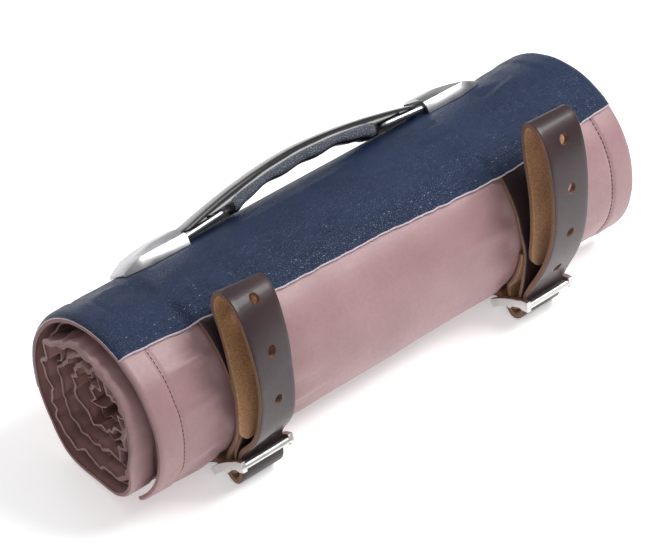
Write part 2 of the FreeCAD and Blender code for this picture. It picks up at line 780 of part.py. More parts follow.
def drilled_for_screws(shape):
    """Clearance holes through a sheet that lies in place."""
    for side in (-1, 1):
        for x in screw_places(side):
            foot = Vector(x, 0, plate_radius() - 1)
            hole = Part.makeCylinder(SCREW_RADIUS + SCREW_PLAY, PANEL_RADIUS - foot.z + 1, foot)
            shape = shape.cut(place_handle(hole))
    return shape


# ---------------------------------------------------------------- all pieces

def make_pieces():
    pieces = {
        "cover_panel": drilled_for_screws(make_cover()),
        "pocket_lining": make_lining(),
        "tool_flap": make_flap(),
        "handle_panel": drilled_for_screws(make_panel()),
        "chape_rivets": make_chape_rivets(),
        "grip_shell": make_grip_shell(),
        "grip_pad_front": make_grip_pad(-1),
        "grip_pad_back": make_grip_pad(1),
        "cap_screws": make_cap_screws(),
    }
    for name, strap in STRAPS.items():
        pieces[f"strap_{name}"] = make_billet(strap)
        pieces[f"chape_{name}"] = make_chape(strap)
        pieces[f"buckle_{name}"] = make_buckle(strap)
        pieces[f"prong_{name}"] = make_prong(strap)
    for name, side in (("left", -1), ("right", 1)):
        pieces[f"handle_cap_{name}"] = make_cap(side)
        pieces[f"handle_link_{name}"] = make_link(side)
        pieces[f"backing_plate_{name}"] = make_backing_plate(side)
    return pieces


def write_parts():
    """Centre the whole object over the origin, front to back, and write one file per piece."""
    pieces = make_pieces()
    box = Part.makeCompound(list(pieces.values())).BoundBox
    centred = Vector(0, -(box.YMin + box.YMax) / 2, 0)
    os.makedirs("parts", exist_ok=True)
    for name, shape in pieces.items():
        shape.translate(centred)
        shape.exportStep(f"parts/{name}.step")


write_parts()
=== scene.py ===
# %% [markdown]
# # A leather roll for carving tools
# A carver's roll is one long leather sheet with pockets, wound up and closed by two buckled straps.
# A dark panel with a case handle is sewn over the top. Each leather piece here is made the way a
# leatherworker makes it: cut flat, punched flat, and only then bent to its place. The CAD frame
# fixes where everything goes, and its small metal pieces are used as they are.

# %% Load the frame
import json
import math
import bmesh
import bpy
import numpy as np
from mathutils import Matrix, Vector, noise


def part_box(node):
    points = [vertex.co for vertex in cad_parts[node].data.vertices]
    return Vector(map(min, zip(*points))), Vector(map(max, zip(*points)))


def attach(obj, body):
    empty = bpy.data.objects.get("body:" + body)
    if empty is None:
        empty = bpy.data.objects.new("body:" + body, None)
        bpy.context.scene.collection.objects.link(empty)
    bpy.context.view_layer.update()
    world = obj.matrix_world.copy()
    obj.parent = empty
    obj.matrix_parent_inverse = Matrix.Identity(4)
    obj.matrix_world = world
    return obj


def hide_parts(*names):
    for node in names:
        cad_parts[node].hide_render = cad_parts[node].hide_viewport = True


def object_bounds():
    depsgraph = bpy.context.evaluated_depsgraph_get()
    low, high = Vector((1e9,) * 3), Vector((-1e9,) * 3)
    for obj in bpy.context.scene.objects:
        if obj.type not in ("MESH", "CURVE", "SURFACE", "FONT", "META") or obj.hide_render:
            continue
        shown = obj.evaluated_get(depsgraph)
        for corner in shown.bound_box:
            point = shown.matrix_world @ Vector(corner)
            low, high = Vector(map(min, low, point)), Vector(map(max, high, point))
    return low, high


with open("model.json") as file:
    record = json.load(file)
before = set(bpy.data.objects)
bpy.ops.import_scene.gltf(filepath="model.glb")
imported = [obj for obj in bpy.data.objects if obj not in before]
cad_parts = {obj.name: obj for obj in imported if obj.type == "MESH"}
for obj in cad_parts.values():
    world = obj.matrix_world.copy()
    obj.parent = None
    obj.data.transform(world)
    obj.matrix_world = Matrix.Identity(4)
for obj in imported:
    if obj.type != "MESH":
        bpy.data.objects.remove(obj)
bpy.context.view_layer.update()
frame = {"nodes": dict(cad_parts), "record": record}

MM = 0.001

# %% [markdown]
# ## The roll's axis
# Everything is wound round one axis, so that axis is the first thing to find. The cover's box gives
# it: the cover is as deep as it is wide in front and behind, and its top is one radius above it.

# %% Axis and radius of the roll
cover_low, cover_high = (Vector(corner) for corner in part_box("cover_panel"))
ROLL_RADIUS = (cover_high.y - cover_low.y) / 2
AXIS_Y = (cover_high.y + cover_low.y) / 2
AXIS_Z = cover_high.z - ROLL_RADIUS
ROLL_LENGTH = cover_high.x - cover_low.x
HALF_LENGTH = ROLL_LENGTH / 2
SAG_SHARPNESS = 24
print(f"radius {ROLL_RADIUS:.4f} m, axis at y {AXIS_Y:.4f}, z {AXIS_Z:.4f}")

# %% Places of the straps
def middle_x(node):
    low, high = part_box(node)
    return (low[0] + high[0]) / 2


STRAP_WIDTH = 25.4 * MM
STRAP_X = {side: middle_x(f"strap_{side}") for side in ("left", "right")}


def near_strap(x, reach):
    """1 on a strap, falling to 0 beyond its edges over about the reach."""
    gaps = [max(0.0, abs(x - at) - 0.55 * STRAP_WIDTH) for at in STRAP_X.values()]
    return math.exp(-(min(gaps) / reach) ** 2)


# %% [markdown]
# ## The roll's skin
# A wound roll is never a true cylinder. It swells between the straps, is pinched under them, is
# pressed flat underneath by its own weight, and the leather gathers where a strap squeezes it. One
# function gives the skin's distance from the axis, and both the cover and the panel on it use it,
# so that the two always lie on each other.

# %% Skin of the roll
SWELL = 0.9 * MM
PINCH = 0.35 * MM
FLOOR_SAG = 0.35 * MM
STRAP_LIFT = 2.95 * MM       # the straps hold the underside off the floor
PINCH_REACH, LIFT_REACH = 13 * MM, 9 * MM
LEFT_END_TAPER, TAPER_REACH = 1.3 * MM, 92.5 * MM
GATHER_REACH, GATHER_START = 22 * MM, 2.5 * MM
FOLD_DEPTH, SMALL_FOLD = 2.3 * MM, 1.0 * MM
SLOW_WAVE, FINE_WAVE = 0.8 * MM, 0.22 * MM
QUIET_INSIDE, QUIET_OUTSIDE = 14, 24    # degrees each side of the handle's line
HANDLE_TURN = math.radians(38)
HANDLE_REACH = 118 * MM


def outline(angle, radius, lift):
    """Distance from the axis at an angle from the top; lift is the underside's height."""
    flat = (AXIS_Z - lift) / radius
    down = max(0.0, -math.cos(angle))
    return radius * (1 + (down / flat) ** SAG_SHARPNESS) ** (-1 / SAG_SHARPNESS)


def wave(a, b, seed=0.0):
    return noise.noise(Vector((a, b, seed)))


def ridge(a, b, seed=0.0):
    """Noise with sharp creases, from 0 to 1."""
    return 1 - min(1.0, 2.2 * abs(noise.noise(Vector((a, b, seed)))))


def smooth_step(low, high, value):
    part = min(1.0, max(0.0, (value - low) / (high - low)))
    return part * part * (3 - 2 * part)


def skin(angle, x):
    """Distance of the roll's outer side from the axis."""
    pinch = near_strap(x, PINCH_REACH)
    run = angle * ROLL_RADIUS
    swell = SWELL * (1 - pinch) - PINCH * pinch
    swell -= LEFT_END_TAPER * smooth_step(TAPER_REACH - HALF_LENGTH, -HALF_LENGTH, x)
    held_up = near_strap(x, LIFT_REACH)
    lift = STRAP_LIFT * held_up + FLOOR_SAG * (1 - held_up)
    gather = near_strap(x, GATHER_REACH) * (1 - near_strap(x, GATHER_START))
    folds = FOLD_DEPTH * gather * (ridge(run / (15 * MM), x / (70 * MM), 2.7) - 0.6)
    folds += SMALL_FOLD * gather * wave(run / (6 * MM), x / (26 * MM), 8.2)
    slow = SLOW_WAVE * (1 - pinch) * wave(run / (34 * MM), x / (60 * MM), 7.1)
    fine = FINE_WAVE * (1 - pinch) * wave(run / (9 * MM), x / (24 * MM), 4.4)
    from_handle_line = abs(math.degrees(wrapped(angle) - HANDLE_TURN))
    held = smooth_step(QUIET_OUTSIDE, QUIET_INSIDE, from_handle_line)
    free = 1 - held * smooth_step(HANDLE_REACH + 12 * MM, HANDLE_REACH, abs(x))
    return outline(angle, ROLL_RADIUS + swell * free, lift) + free * (folds + slow + fine)


def wrapped(angle):
    """The same angle between minus and plus half a turn."""
    return math.remainder(angle, math.tau)


def around_axis(angle, distance, x):
    return Vector((x, AXIS_Y + distance * math.sin(angle), AXIS_Z + distance * math.cos(angle)))


# %% [markdown]
# ## Cut flat, then bent
# Each leather piece starts as a flat grid: its first coordinate runs along the piece, its second
# runs along the roll, and its third is the height in the leather. After cutting, punching and
# rounding, a bend function moves each point to its place. The stitches are bent with the same
# function, so they stay in their leather.

# %% Helpers for flat leather
SHARP_ANGLE = math.radians(55)


def new_piece(name, bm, materials, body="root", smooth=True):
    """A finished piece: its mesh in place, its object at the origin, riding on a body."""
    mesh = bpy.data.meshes.new(name)
    bm.to_mesh(mesh)
    bm.free()
    for material in materials:
        mesh.materials.append(material)
    if smooth:
        mesh.shade_smooth()
        mesh.set_sharp_from_angle(angle=SHARP_ANGLE)
    piece = bpy.data.objects.new(name, mesh)
    bpy.context.scene.collection.objects.link(piece)
    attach(piece, body)
    print(f"{name}: {len(mesh.polygons)} faces")
    return piece


def flat_sheet(length, width, columns, rows):
    """A flat grid from 0 to length, centred across."""
    bm = bmesh.new()
    bmesh.ops.create_grid(bm, x_segments=columns, y_segments=rows, size=0.5)
    bmesh.ops.translate(bm, verts=bm.verts, vec=(0.5, 0, 0))
    bmesh.ops.scale(bm, verts=bm.verts, vec=(length, width, 1))
    return bm


def thicken(bm, thickness):
    """Give a flat sheet its lower side and its rim."""
    top = list(bm.faces)
    bmesh.ops.solidify(bm, geom=top, thickness=thickness)
    bmesh.ops.recalc_face_normals(bm, faces=bm.faces)
    mark_sides(bm)


def mark_sides(bm):
    """Material 0 for faces that look up, 1 for those that look down, and 2 for the rims."""
    bm.normal_update()
    for face in bm.faces:
        face.material_index = 0 if face.normal.z > 0.6 else 1 if face.normal.z < -0.6 else 2


def bend(bm, place):
    """Move each point from the flat (along, across, height) to its place."""
    for vert in bm.verts:
        vert.co = place(*vert.co)
    bm.normal_update()


# %% [markdown]
# ## Leather finishes
# Real leather is never one colour: the dye is uneven, the grain is a net of fine creases, and the
# rubbed places are lighter and smoother. One node group gives the grain and the mottling, and each
# leather uses it with its own scale and strength.

# %% Node helpers
def input_of(node, name, value):
    node.inputs[name].default_value = value


MOTTLE_PER_METRE = 26.0
CREASE_SHARE = 0.35        # creases are this much coarser than the pebbles


def make_grain_group():
    """Pebbled leather grain: a height for the bump and a slow mottling."""
    group = bpy.data.node_groups.new("leather_grain", "ShaderNodeTree")
    sockets = group.interface
    for name, value in (("Grain Size", 0.9), ("Crease Strength", 0.5)):
        socket = sockets.new_socket(name, in_out="INPUT", socket_type="NodeSocketFloat")
        socket.default_value = value
    for name in ("Height", "Mottle"):
        sockets.new_socket(name, in_out="OUTPUT", socket_type="NodeSocketFloat")
    nodes, links = group.nodes, group.links
    source = nodes.new("NodeGroupInput")
    result = nodes.new("NodeGroupOutput")
    where = nodes.new("ShaderNodeTexCoord")
    per_metre = nodes.new("ShaderNodeMath")
    per_metre.operation = "DIVIDE"
    per_metre.inputs[0].default_value = 1000.0
    links.new(source.outputs["Grain Size"], per_metre.inputs[1])
    cells = nodes.new("ShaderNodeTexVoronoi")
    cells.feature = "DISTANCE_TO_EDGE"
    creases = nodes.new("ShaderNodeTexNoise")
    input_of(creases, "Detail", 6.0)
    input_of(creases, "Roughness", 0.62)
    mottle = nodes.new("ShaderNodeTexNoise")
    input_of(mottle, "Scale", MOTTLE_PER_METRE)
    input_of(mottle, "Detail", 4.0)
    for node in (cells, creases, mottle):
        links.new(where.outputs["Object"], node.inputs["Vector"])
    links.new(per_metre.outputs[0], cells.inputs["Scale"])
    coarser = nodes.new("ShaderNodeMath")
    coarser.operation = "MULTIPLY"
    coarser.inputs[1].default_value = CREASE_SHARE
    links.new(per_metre.outputs[0], coarser.inputs[0])
    links.new(coarser.outputs[0], creases.inputs["Scale"])
    pebble = nodes.new("ShaderNodeMapRange")
    input_of(pebble, "From Max", 0.28)
    links.new(cells.outputs["Distance"], pebble.inputs["Value"])
    both = nodes.new("ShaderNodeMix")
    links.new(source.outputs["Crease Strength"], both.inputs["Factor"])
    links.new(pebble.outputs[0], both.inputs["A"])
    links.new(creases.outputs["Fac"], both.inputs["B"])
    links.new(both.outputs["Result"], result.inputs["Height"])
    links.new(mottle.outputs["Fac"], result.inputs["Mottle"])
    return group


GRAIN = make_grain_group()
print("grain group:", len(GRAIN.nodes), "nodes")

# %% Small helpers for materials
RAMP_ENDS = (0.3, 0.7)


def blank_material(name):
    material = bpy.data.materials.new(name)
    material.use_nodes = True
    nodes, links = material.node_tree.nodes, material.node_tree.links
    return material, nodes, links, nodes["Principled BSDF"]


def ramp(nodes, links, factor, dark, light):
    """Colour between dark and light by a factor."""
    band = nodes.new("ShaderNodeValToRGB")
    first, last = band.color_ramp.elements
    first.position, last.position = RAMP_ENDS
    first.color, last.color = (*dark, 1), (*light, 1)
    links.new(factor, band.inputs["Fac"])
    return band.outputs["Color"]


def value_range(nodes, links, factor, low, high):
    span = nodes.new("ShaderNodeMapRange")
    input_of(span, "To Min", low)
    input_of(span, "To Max", high)
    links.new(factor, span.inputs["Value"])
    return span.outputs[0]


def bump(nodes, links, height, depth):
    node = nodes.new("ShaderNodeBump")
    input_of(node, "Distance", depth)
    links.new(height, node.inputs["Height"])
    return node.outputs["Normal"]


# %% Leather
ROUGH_SPREAD = 0.08
DYED_GLOSS = 0.32          # dark dyed leather reflects less than plain leather


def leather(name, dark, light, rough, grain_size, depth, creases=0.5, sheen=0.0, coat=0.0,
            speckle=0.2):
    """Dyed leather with its grain, from the shared group. Speckle is how much of the colour's
    change follows the grain, and the rest is the slow mottling."""
    material, nodes, links, shader = blank_material(name)
    grain = nodes.new("ShaderNodeGroup")
    grain.node_tree = GRAIN
    input_of(grain, "Grain Size", grain_size)
    input_of(grain, "Crease Strength", creases)
    tone = nodes.new("ShaderNodeMix")
    input_of(tone, "Factor", speckle)
    links.new(grain.outputs["Mottle"], tone.inputs["A"])
    links.new(grain.outputs["Height"], tone.inputs["B"])
    colour = ramp(nodes, links, tone.outputs["Result"], dark, light)
    links.new(colour, shader.inputs["Base Color"])
    height = grain.outputs["Height"]
    in_creases, on_pebbles = rough + ROUGH_SPREAD, rough - ROUGH_SPREAD
    rough_out = value_range(nodes, links, height, in_creases, on_pebbles)
    links.new(rough_out, shader.inputs["Roughness"])
    links.new(bump(nodes, links, height, depth), shader.inputs["Normal"])
    input_of(shader, "Sheen Weight", sheen)
    input_of(shader, "Coat Weight", coat)
    return material


MAUVE = leather(
    "mauve_leather", (0.30, 0.170, 0.176), (0.41, 0.250, 0.262),
    0.42, 0.8, 0.12 * MM, 0.75, speckle=0.3,
)
MAUVE_BACK = leather(
    "mauve_flesh", (0.30, 0.165, 0.155), (0.46, 0.27, 0.255),
    0.58, 0.6, 0.12 * MM, 0.8,
)
# The rims are a darker mauve than the grain side. That darkening is painted shade for the shaded
# ends of the coil, where these rims show.
MAUVE_EDGE_WITH_PAINTED_SHADE = leather(
    "mauve_edge_painted_shade", (0.19, 0.11, 0.105), (0.30, 0.18, 0.17),
    0.75, 0.3, 0.1 * MM, 0.9,
)
NAVY = leather(
    "navy_leather", (0.004, 0.013, 0.044), (0.014, 0.031, 0.082),
    0.46, 1.1, 0.30 * MM, 0.35, speckle=0.35,
)
NAVY_BACK = leather(
    "navy_flesh", (0.03, 0.035, 0.05), (0.05, 0.055, 0.08),
    0.9, 0.5, 0.12 * MM, 0.9,
)
NAVY_EDGE = leather(
    "navy_raw_edge", (0.34, 0.28, 0.32), (0.72, 0.62, 0.66),
    0.95, 0.35, 0.2 * MM, 0.9, speckle=0.8,
)
BROWN = leather(
    "brown_grain", (0.022, 0.012, 0.015), (0.055, 0.031, 0.035),
    0.38, 0.5, 0.06 * MM, 0.85, 0.0, 0.08, 0.3,
)
SUEDE = leather(
    "suede_flesh", (0.22, 0.105, 0.042), (0.62, 0.34, 0.165),
    0.95, 0.35, 0.25 * MM, 0.9, 0.3, 0.0, 0.75,
)
BROWN_EDGE = leather(
    "brown_raw_edge", (0.13, 0.065, 0.04), (0.30, 0.17, 0.11),
    0.7, 0.3, 0.15 * MM, 0.9, speckle=0.5,
)
LINING = leather(
    "lining_leather", (0.26, 0.145, 0.135), (0.40, 0.235, 0.22),
    0.55, 0.6, 0.10 * MM, 0.8,
)

for finish in (NAVY, BROWN):
    input_of(finish.node_tree.nodes["Principled BSDF"], "Specular IOR Level", DYED_GLOSS)
print("leathers:", len(bpy.data.materials))

# %% [markdown]
# ## The cover
# The cover is one sheet, 305 mm wide and about 0.9 m long, wound nearly five turns. Its turns step
# in under the outer one where the free edge lies, at the bottom front. Inside, the thin leather
# crumples, because nothing holds it to the round. The grid is finer on the outer turn, which is
# the one that shows.

# %% How the coil winds
COIL_START = math.radians(-140)
COIL_PITCH = 8.6 * MM
COIL_TURNS = 4.8
STEP_START, STEP_LENGTH = 0.8, 0.3
COVER_T = 1.7 * MM
LINING_T = 1.1 * MM
MEAN_TURN = 180 * MM       # spreads the noise along a turn
INNER_LIFT = 2.5 * MM
CRUMPLE = 4.2 * MM
PLEAT_REACH = 40 * MM
SMALLEST_RADIUS = 1.5 * MM
# How far the turns have slid along the roll, in millimetres, by number of turns.
SLIDE_TURNS = (0.75, 0.95, 1.12, 1.35, 1.62, 2.1, 2.6, 3.2, 4.0, 4.8)
SLIDES = (0, -5, -10.5, -7, -1, -3, 3, 0, 6, 8)


def coil_drop(turns):
    """How far the turns have stepped in from the outline."""
    past = turns - STEP_START
    if past <= 0:
        return 0.0
    return COIL_PITCH * (math.floor(past) + min(1.0, (past % 1.0) / STEP_LENGTH))


def coil_place(turns, x, depth, crumple):
    """A point of the coil, some depth under the outer side of its turn."""
    angle = COIL_START + turns * math.tau
    outer = smooth_step(1.05, 0.85, turns)
    drop = coil_drop(turns)
    inner_radius = max(2 * MM, ROLL_RADIUS - drop)
    along = turns * MEAN_TURN
    share = drop / ROLL_RADIUS
    lift = AXIS_Z * share + INNER_LIFT * (1 - share)
    inward = outline(angle, inner_radius, lift)
    folds = crumple * (ridge(along / (16 * MM), x / (90 * MM), 11.3) - 0.55)
    folds += 0.7 * crumple * wave(along / (7 * MM), x / (40 * MM), 5.9)
    folds += 0.45 * crumple * wave(along / (3.1 * MM), x / (16 * MM), 1.9)
    near_end = smooth_step(HALF_LENGTH - PLEAT_REACH, HALF_LENGTH, abs(x))
    folds += 0.8 * crumple * near_end * (ridge(along / (11 * MM), x / (120 * MM), 9.9) - 0.5)
    distance = outer * (skin(angle, x) - drop) + (1 - outer) * (inward + folds)
    slide = float(np.interp(turns, SLIDE_TURNS, SLIDES)) * MM
    slide += 2.2 * MM * (1 - outer) * wave(along / (22 * MM), 0.4, 6.1)
    return around_axis(angle, max(SMALLEST_RADIUS, distance - depth), x + slide)


def crumple_at(turns):
    """The outer turn is held smooth, and the inner ones crumple."""
    return CRUMPLE * smooth_step(0.95, 1.7, turns)


# %% Arc length along the coil
MEASURED_AT = 30 * MM      # a place along the roll that no strap pinches


class Winding:
    """Turns at a distance along the flat sheet, between two numbers of turns."""

    def __init__(self, first, last):
        self.turns = np.linspace(first, last, 1400)
        points = [coil_place(t, MEASURED_AT, 0, 0) for t in self.turns]
        steps = [0.0] + [math.dist(a[1:], b[1:]) for a, b in zip(points, points[1:])]
        self.run = np.cumsum(steps)
        self.length = float(self.run[-1])

    def at(self, along):
        return float(np.interp(along, self.run, self.turns))


COVER_WINDING = Winding(0, COIL_TURNS)
print(f"cover's flat length {COVER_WINDING.length:.3f} m")

# %% Cut, hem and wind the cover
OUTER_RUN = 0.31
OUTER_SHARE = 0.4
HEM = 14.5 * MM


def hem_height(x):
    """The folded hem is thicker, with a groove where its seam pulls in."""
    from_end = HALF_LENGTH - abs(x)
    fold = 0.5 * MM * smooth_step(HEM + 1.5 * MM, HEM - 1.5 * MM, from_end)
    groove = 0.7 * MM * math.exp(-((from_end - HEM) / (1.1 * MM)) ** 2)
    rim = 0.9 * MM * smooth_step(1.4 * MM, 0, from_end) ** 2
    return fold - groove - rim


def cover_place(along, x, height):
    turns = COVER_WINDING.at(along)
    return coil_place(turns, x, -height - hem_height(x), crumple_at(turns))


def row_spacing(x):
    """Rows are close at the hem's seam, fairly close at the straps, and wide elsewhere."""
    from_seam = abs(HALF_LENGTH - abs(x) - HEM)
    if from_seam < 3 * MM:
        return 0.8 * MM
    if abs(x) > HALF_LENGTH - HEM:
        return 1.0 * MM if HALF_LENGTH - abs(x) < 2 * MM else 2.0 * MM
    return 2.4 * MM if min(abs(x - at) for at in STRAP_X.values()) < 38 * MM else 4.5 * MM


def spread_rows(bm, count):
    """Move a grid's even rows to the places that the row spacing asks for."""
    places = np.linspace(-HALF_LENGTH, HALF_LENGTH, 3000)
    share = np.cumsum([1 / row_spacing(x) for x in places])
    share = (share - share[0]) / (share[-1] - share[0])
    for vert in bm.verts:
        part = vert.co.y / ROLL_LENGTH + 0.5
        vert.co.y = float(np.interp(part, share, places))


def spread_columns(bm, length, dense_length, share):
    """Move a grid's columns so that its first stretch has the given share of them."""
    for vert in bm.verts:
        part = vert.co.x / length
        if part < share:
            vert.co.x = dense_length * part / share
        else:
            vert.co.x = dense_length + (length - dense_length) * (part - share) / (1 - share)


def make_cover():
    bm = flat_sheet(COVER_WINDING.length, ROLL_LENGTH, 470, 102)
    spread_rows(bm, 102)
    spread_columns(bm, COVER_WINDING.length, OUTER_RUN, OUTER_SHARE)
    thicken(bm, COVER_T)
    bend(bm, cover_place)
    # The cover's rims take the darker rim colour, which holds painted shade for the coil's ends.
    cover = new_piece("cover", bm, [MAUVE, MAUVE_BACK, MAUVE_EDGE_WITH_PAINTED_SHADE])
    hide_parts("cover_panel")
    return cover


cover = make_cover()

# %% [markdown]
# ## The lining
# The tool pockets are a thinner sheet sewn inside the cover, and a flap folds over the tools. From
# outside only their crumpled edges show, between the turns at each end of the roll.

# %% Lining and flap
def wound_sheet(name, first, last, x_low, x_high, depth, thickness, crumple, columns, rows):
    """A sheet wound inside the cover, at a depth under its turns."""
    winding = Winding(first, last)
    bm = flat_sheet(winding.length, x_high - x_low, columns, rows)
    thicken(bm, thickness)

    def place(along, across, height):
        x = across + (x_low + x_high) / 2
        turns = winding.at(along)
        lift = crumple * (ridge(along / (15 * MM), x / (60 * MM), 3.1) - 0.5)
        return coil_place(turns, x, depth - height + lift, crumple_at(turns))

    bend(bm, place)
    # The lining's rims take the same darker rim colour, with its painted shade.
    piece = new_piece(name, bm, [LINING, LINING, MAUVE_EDGE_WITH_PAINTED_SHADE])
    return piece


end = HALF_LENGTH - 6 * MM
lining = wound_sheet("lining", 0.10, 4.3, -end, end, 4.2 * MM, LINING_T, 1.6 * MM, 300, 80)
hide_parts("pocket_lining")
flap = wound_sheet("flap", 0.4, 4.1, end - 85 * MM, end, 6.0 * MM, LINING_T, 0.8 * MM, 280, 30)
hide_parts("tool_flap")

# %% [markdown]
# ## The handle panel
# A navy panel is sewn over the top of the cover. Its front edge is cut by hand and left raw, so it
# wanders a little, and it rises where the strap ends are sewn in under it.

# %% Shape of the panel
PANEL_T = 1.5 * MM
PANEL_BACK = math.radians(108)
EDGE_PLACES = (-160, -127, -104, -63, 0, 35, 75, 110, 160)
EDGE_ANGLES = (-25, -27, -29, -35, -37, -40, -42, -40, -36)
PANEL_RADIUS = ROLL_RADIUS + PANEL_T


def front_edge(x):
    """Angle of the panel's front edge, which was cut by hand and wanders."""
    angle = np.interp(x / MM, EDGE_PLACES, EDGE_ANGLES)
    return math.radians(float(angle) + 0.7 * wave(x / (6 * MM), 0.0, 1.2))


def strap_rise(angle, x):
    """How much the panel is lifted by the strap ends sewn in under its edges."""
    rise = 0.0
    for at in STRAP_X.values():
        across = smooth_step(0.5 * STRAP_WIDTH + 5 * MM, 0.5 * STRAP_WIDTH - 2 * MM, abs(x - at))
        front = (angle - front_edge(x)) * ROLL_RADIUS
        back = (PANEL_BACK - angle) * ROLL_RADIUS
        rise += across * 2.3 * MM * smooth_step(19 * MM, 10 * MM, front)
        rise += across * 2.8 * MM * smooth_step(19 * MM, 10 * MM, back)
    return rise


def panel_place(along, x, height):
    """along runs from 0 at the front edge to 1 at the back edge."""
    first = front_edge(x)
    angle = first + along * (PANEL_BACK - first)
    base = skin(angle, x) + hem_height(x) + strap_rise(angle, x) + 0.1 * MM
    pared = 1 - 0.6 * smooth_step(HALF_LENGTH - 4 * MM, HALF_LENGTH - 0.5 * MM, abs(x))
    return around_axis(angle, base + pared * (PANEL_T + height), x)


PANEL_COLUMNS, PANEL_ROWS = 100, 200
FRAYED = 0.0055            # share of the panel's depth whose dye has rubbed off


def make_panel():
    bm = flat_sheet(1.0, ROLL_LENGTH, PANEL_COLUMNS, PANEL_ROWS)
    for vert in bm.verts:
        if 0.5 < vert.co.x * PANEL_COLUMNS < 1.5:
            vert.co.x = FRAYED
    thicken(bm, PANEL_T)
    for face in bm.faces:
        # The cut edge is pale, and so is the first half millimetre beside it.
        if face.calc_center_median().x < FRAYED:
            face.material_index = 2
    bend(bm, panel_place)
    panel = new_piece("panel", bm, [NAVY, NAVY_BACK, NAVY_EDGE])
    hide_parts("handle_panel")
    return panel


panel = make_panel()
panel_depth = (PANEL_BACK - front_edge(0)) * PANEL_RADIUS

# %% [markdown]
# ## Straps
# Each strap is two pieces. The short one, the chape, holds the buckle on its middle bar. The long
# one, the billet, comes round the back, goes through the buckle, and its spare end is folded over
# and tucked in, which makes the loop that stands up at the front.

# %% Paths in a cross-section
STRAP_T = 2.8 * MM
CHAPE_T = 2.2 * MM
GAP = 0.15 * MM
BAR_RADIUS = 1.8 * MM
BAR_DEPTH = 2.4 * MM
BUCKLE_REACH = 11.4 * MM
LOW_BAR_ANGLE = -138.9
BUCKLE_SLOPE = 38.0
CHAPE_WRAP = BAR_RADIUS + GAP + CHAPE_T / 2
CHAPE_RHO = ROLL_RADIUS + GAP + CHAPE_T / 2
PLY_RHO = CHAPE_RHO + CHAPE_T + GAP
CHAPE_TIP = -92.0
TAB_LENGTH = 12 * MM
STRAPS = {
    "left": {
        "stand_off": 0.0, "holes_from": 37.8, "lean": (2.5, 5.5, -2.0, -5.5), "twist": 0.30,
        "outer": [(-100, 9.8), (-86, 12.3), (-72, 14.3), (-58, 17.2), (-45, 20.6), (-36, 22.9)],
        "fold": [(-30.5, 22.0), (-27.0, 18.0), (-28.5, 13.0)],
        "inner": [(-36, 10.0), (-48, 8.4), (-62, 7.4), (-77, 6.8), (-91, 6.5), (-99, 6.8)],
    },
    "right": {
        "stand_off": 12.0, "holes_from": 19.0, "lean": (2.5, 6.0, 2.0, -1.0), "twist": 0.12,
        "outer": [(-100, 12.6), (-85, 17.0), (-70, 22.2), (-56, 28.4), (-44, 35.0), (-38, 37.6)],
        "fold": [(-34.0, 37.4), (-31.5, 33.4), (-33.5, 28.0)],
        "inner": [(-42, 20.0), (-54, 14.6), (-67, 10.6), (-79, 8.4), (-91, 7.5), (-98, 7.7)],
    },
}


def around(angle, rho):
    turn = math.radians(angle)
    return (AXIS_Y + rho * math.sin(turn), AXIS_Z + rho * math.cos(turn))


def angles(first, last, step=10.0):
    count = max(1, math.ceil(abs(last - first) / step))
    return [first + (last - first) * i / count for i in range(count + 1)]


def on_outline(first, last, offset):
    """Path at a distance outside the pinched roll."""
    points = []
    for angle in angles(first, last):
        ends = []
        for turn in (angle, angle + 0.5):
            ends.append(around(turn, outline(math.radians(turn), ROLL_RADIUS, STRAP_T + GAP)))
        here, ahead = ends
        run = math.dist(here, ahead)
        normal = (-(ahead[1] - here[1]) / run, (ahead[0] - here[0]) / run)
        points.append((here[0] + offset * normal[0], here[1] + offset * normal[1]))
    return points


# %% Where each buckle sits
class Station:
    """A buckle's place in its cross-section, with directions along and out of it."""

    def __init__(self, strap):
        slope = math.radians(BUCKLE_SLOPE - strap["stand_off"])
        self.along = (-math.cos(slope), math.sin(slope))
        self.out = (-math.sin(slope), -math.cos(slope))
        offset = 2 * GAP + STRAP_T + BAR_RADIUS + 0.35 * MM
        self.low = on_outline(LOW_BAR_ANGLE, LOW_BAR_ANGLE + 1, offset)[0]
        self.centre = self.shift(self.low, BUCKLE_REACH, 0)
        self.front = self.at(BUCKLE_REACH, 0)
        y, z = self.front[0] - AXIS_Y, self.front[1] - AXIS_Z
        self.front_angle = math.degrees(math.atan2(y, z))
        self.front_rho = math.hypot(y, z)

    def shift(self, point, along, out):
        return tuple(p + along * a + out * o for p, a, o in zip(point, self.along, self.out))

    def at(self, along, out):
        return self.shift(self.centre, along, out)


BILLET_DEPTH = BAR_DEPTH / 2 + 2 * GAP + STRAP_T / 2
CHAPE_DEPTH = BILLET_DEPTH + STRAP_T / 2 + CHAPE_T / 2 + 2 * GAP


def chape_path(strap, top):
    """From the tip of the inner ply, round the centre bar, and up to the panel."""
    station = Station(strap)
    rise = max(PLY_RHO, station.front_rho - CHAPE_DEPTH - 1.1 * MM)
    inner = [around(a, CHAPE_RHO) for a in angles(CHAPE_TIP, station.front_angle - 4, 6.0)]
    wrap = [
        station.at(CHAPE_WRAP * math.cos(math.radians(a)), CHAPE_WRAP * math.sin(math.radians(a)))
        for a in (-130, -170, -210, -250, -290)
    ]
    outer = [
        station.at(0.47 * BUCKLE_REACH, -1.8 * MM),
        around(station.front_angle + 1, rise),
        around(CHAPE_TIP - 5, PLY_RHO + 0.6 * MM),
        around(CHAPE_TIP + 6, CHAPE_RHO + 1.8 * MM),
    ]
    return inner + wrap + outer + [around(a, CHAPE_RHO) for a in angles(CHAPE_TIP + 17, top, 8.0)]


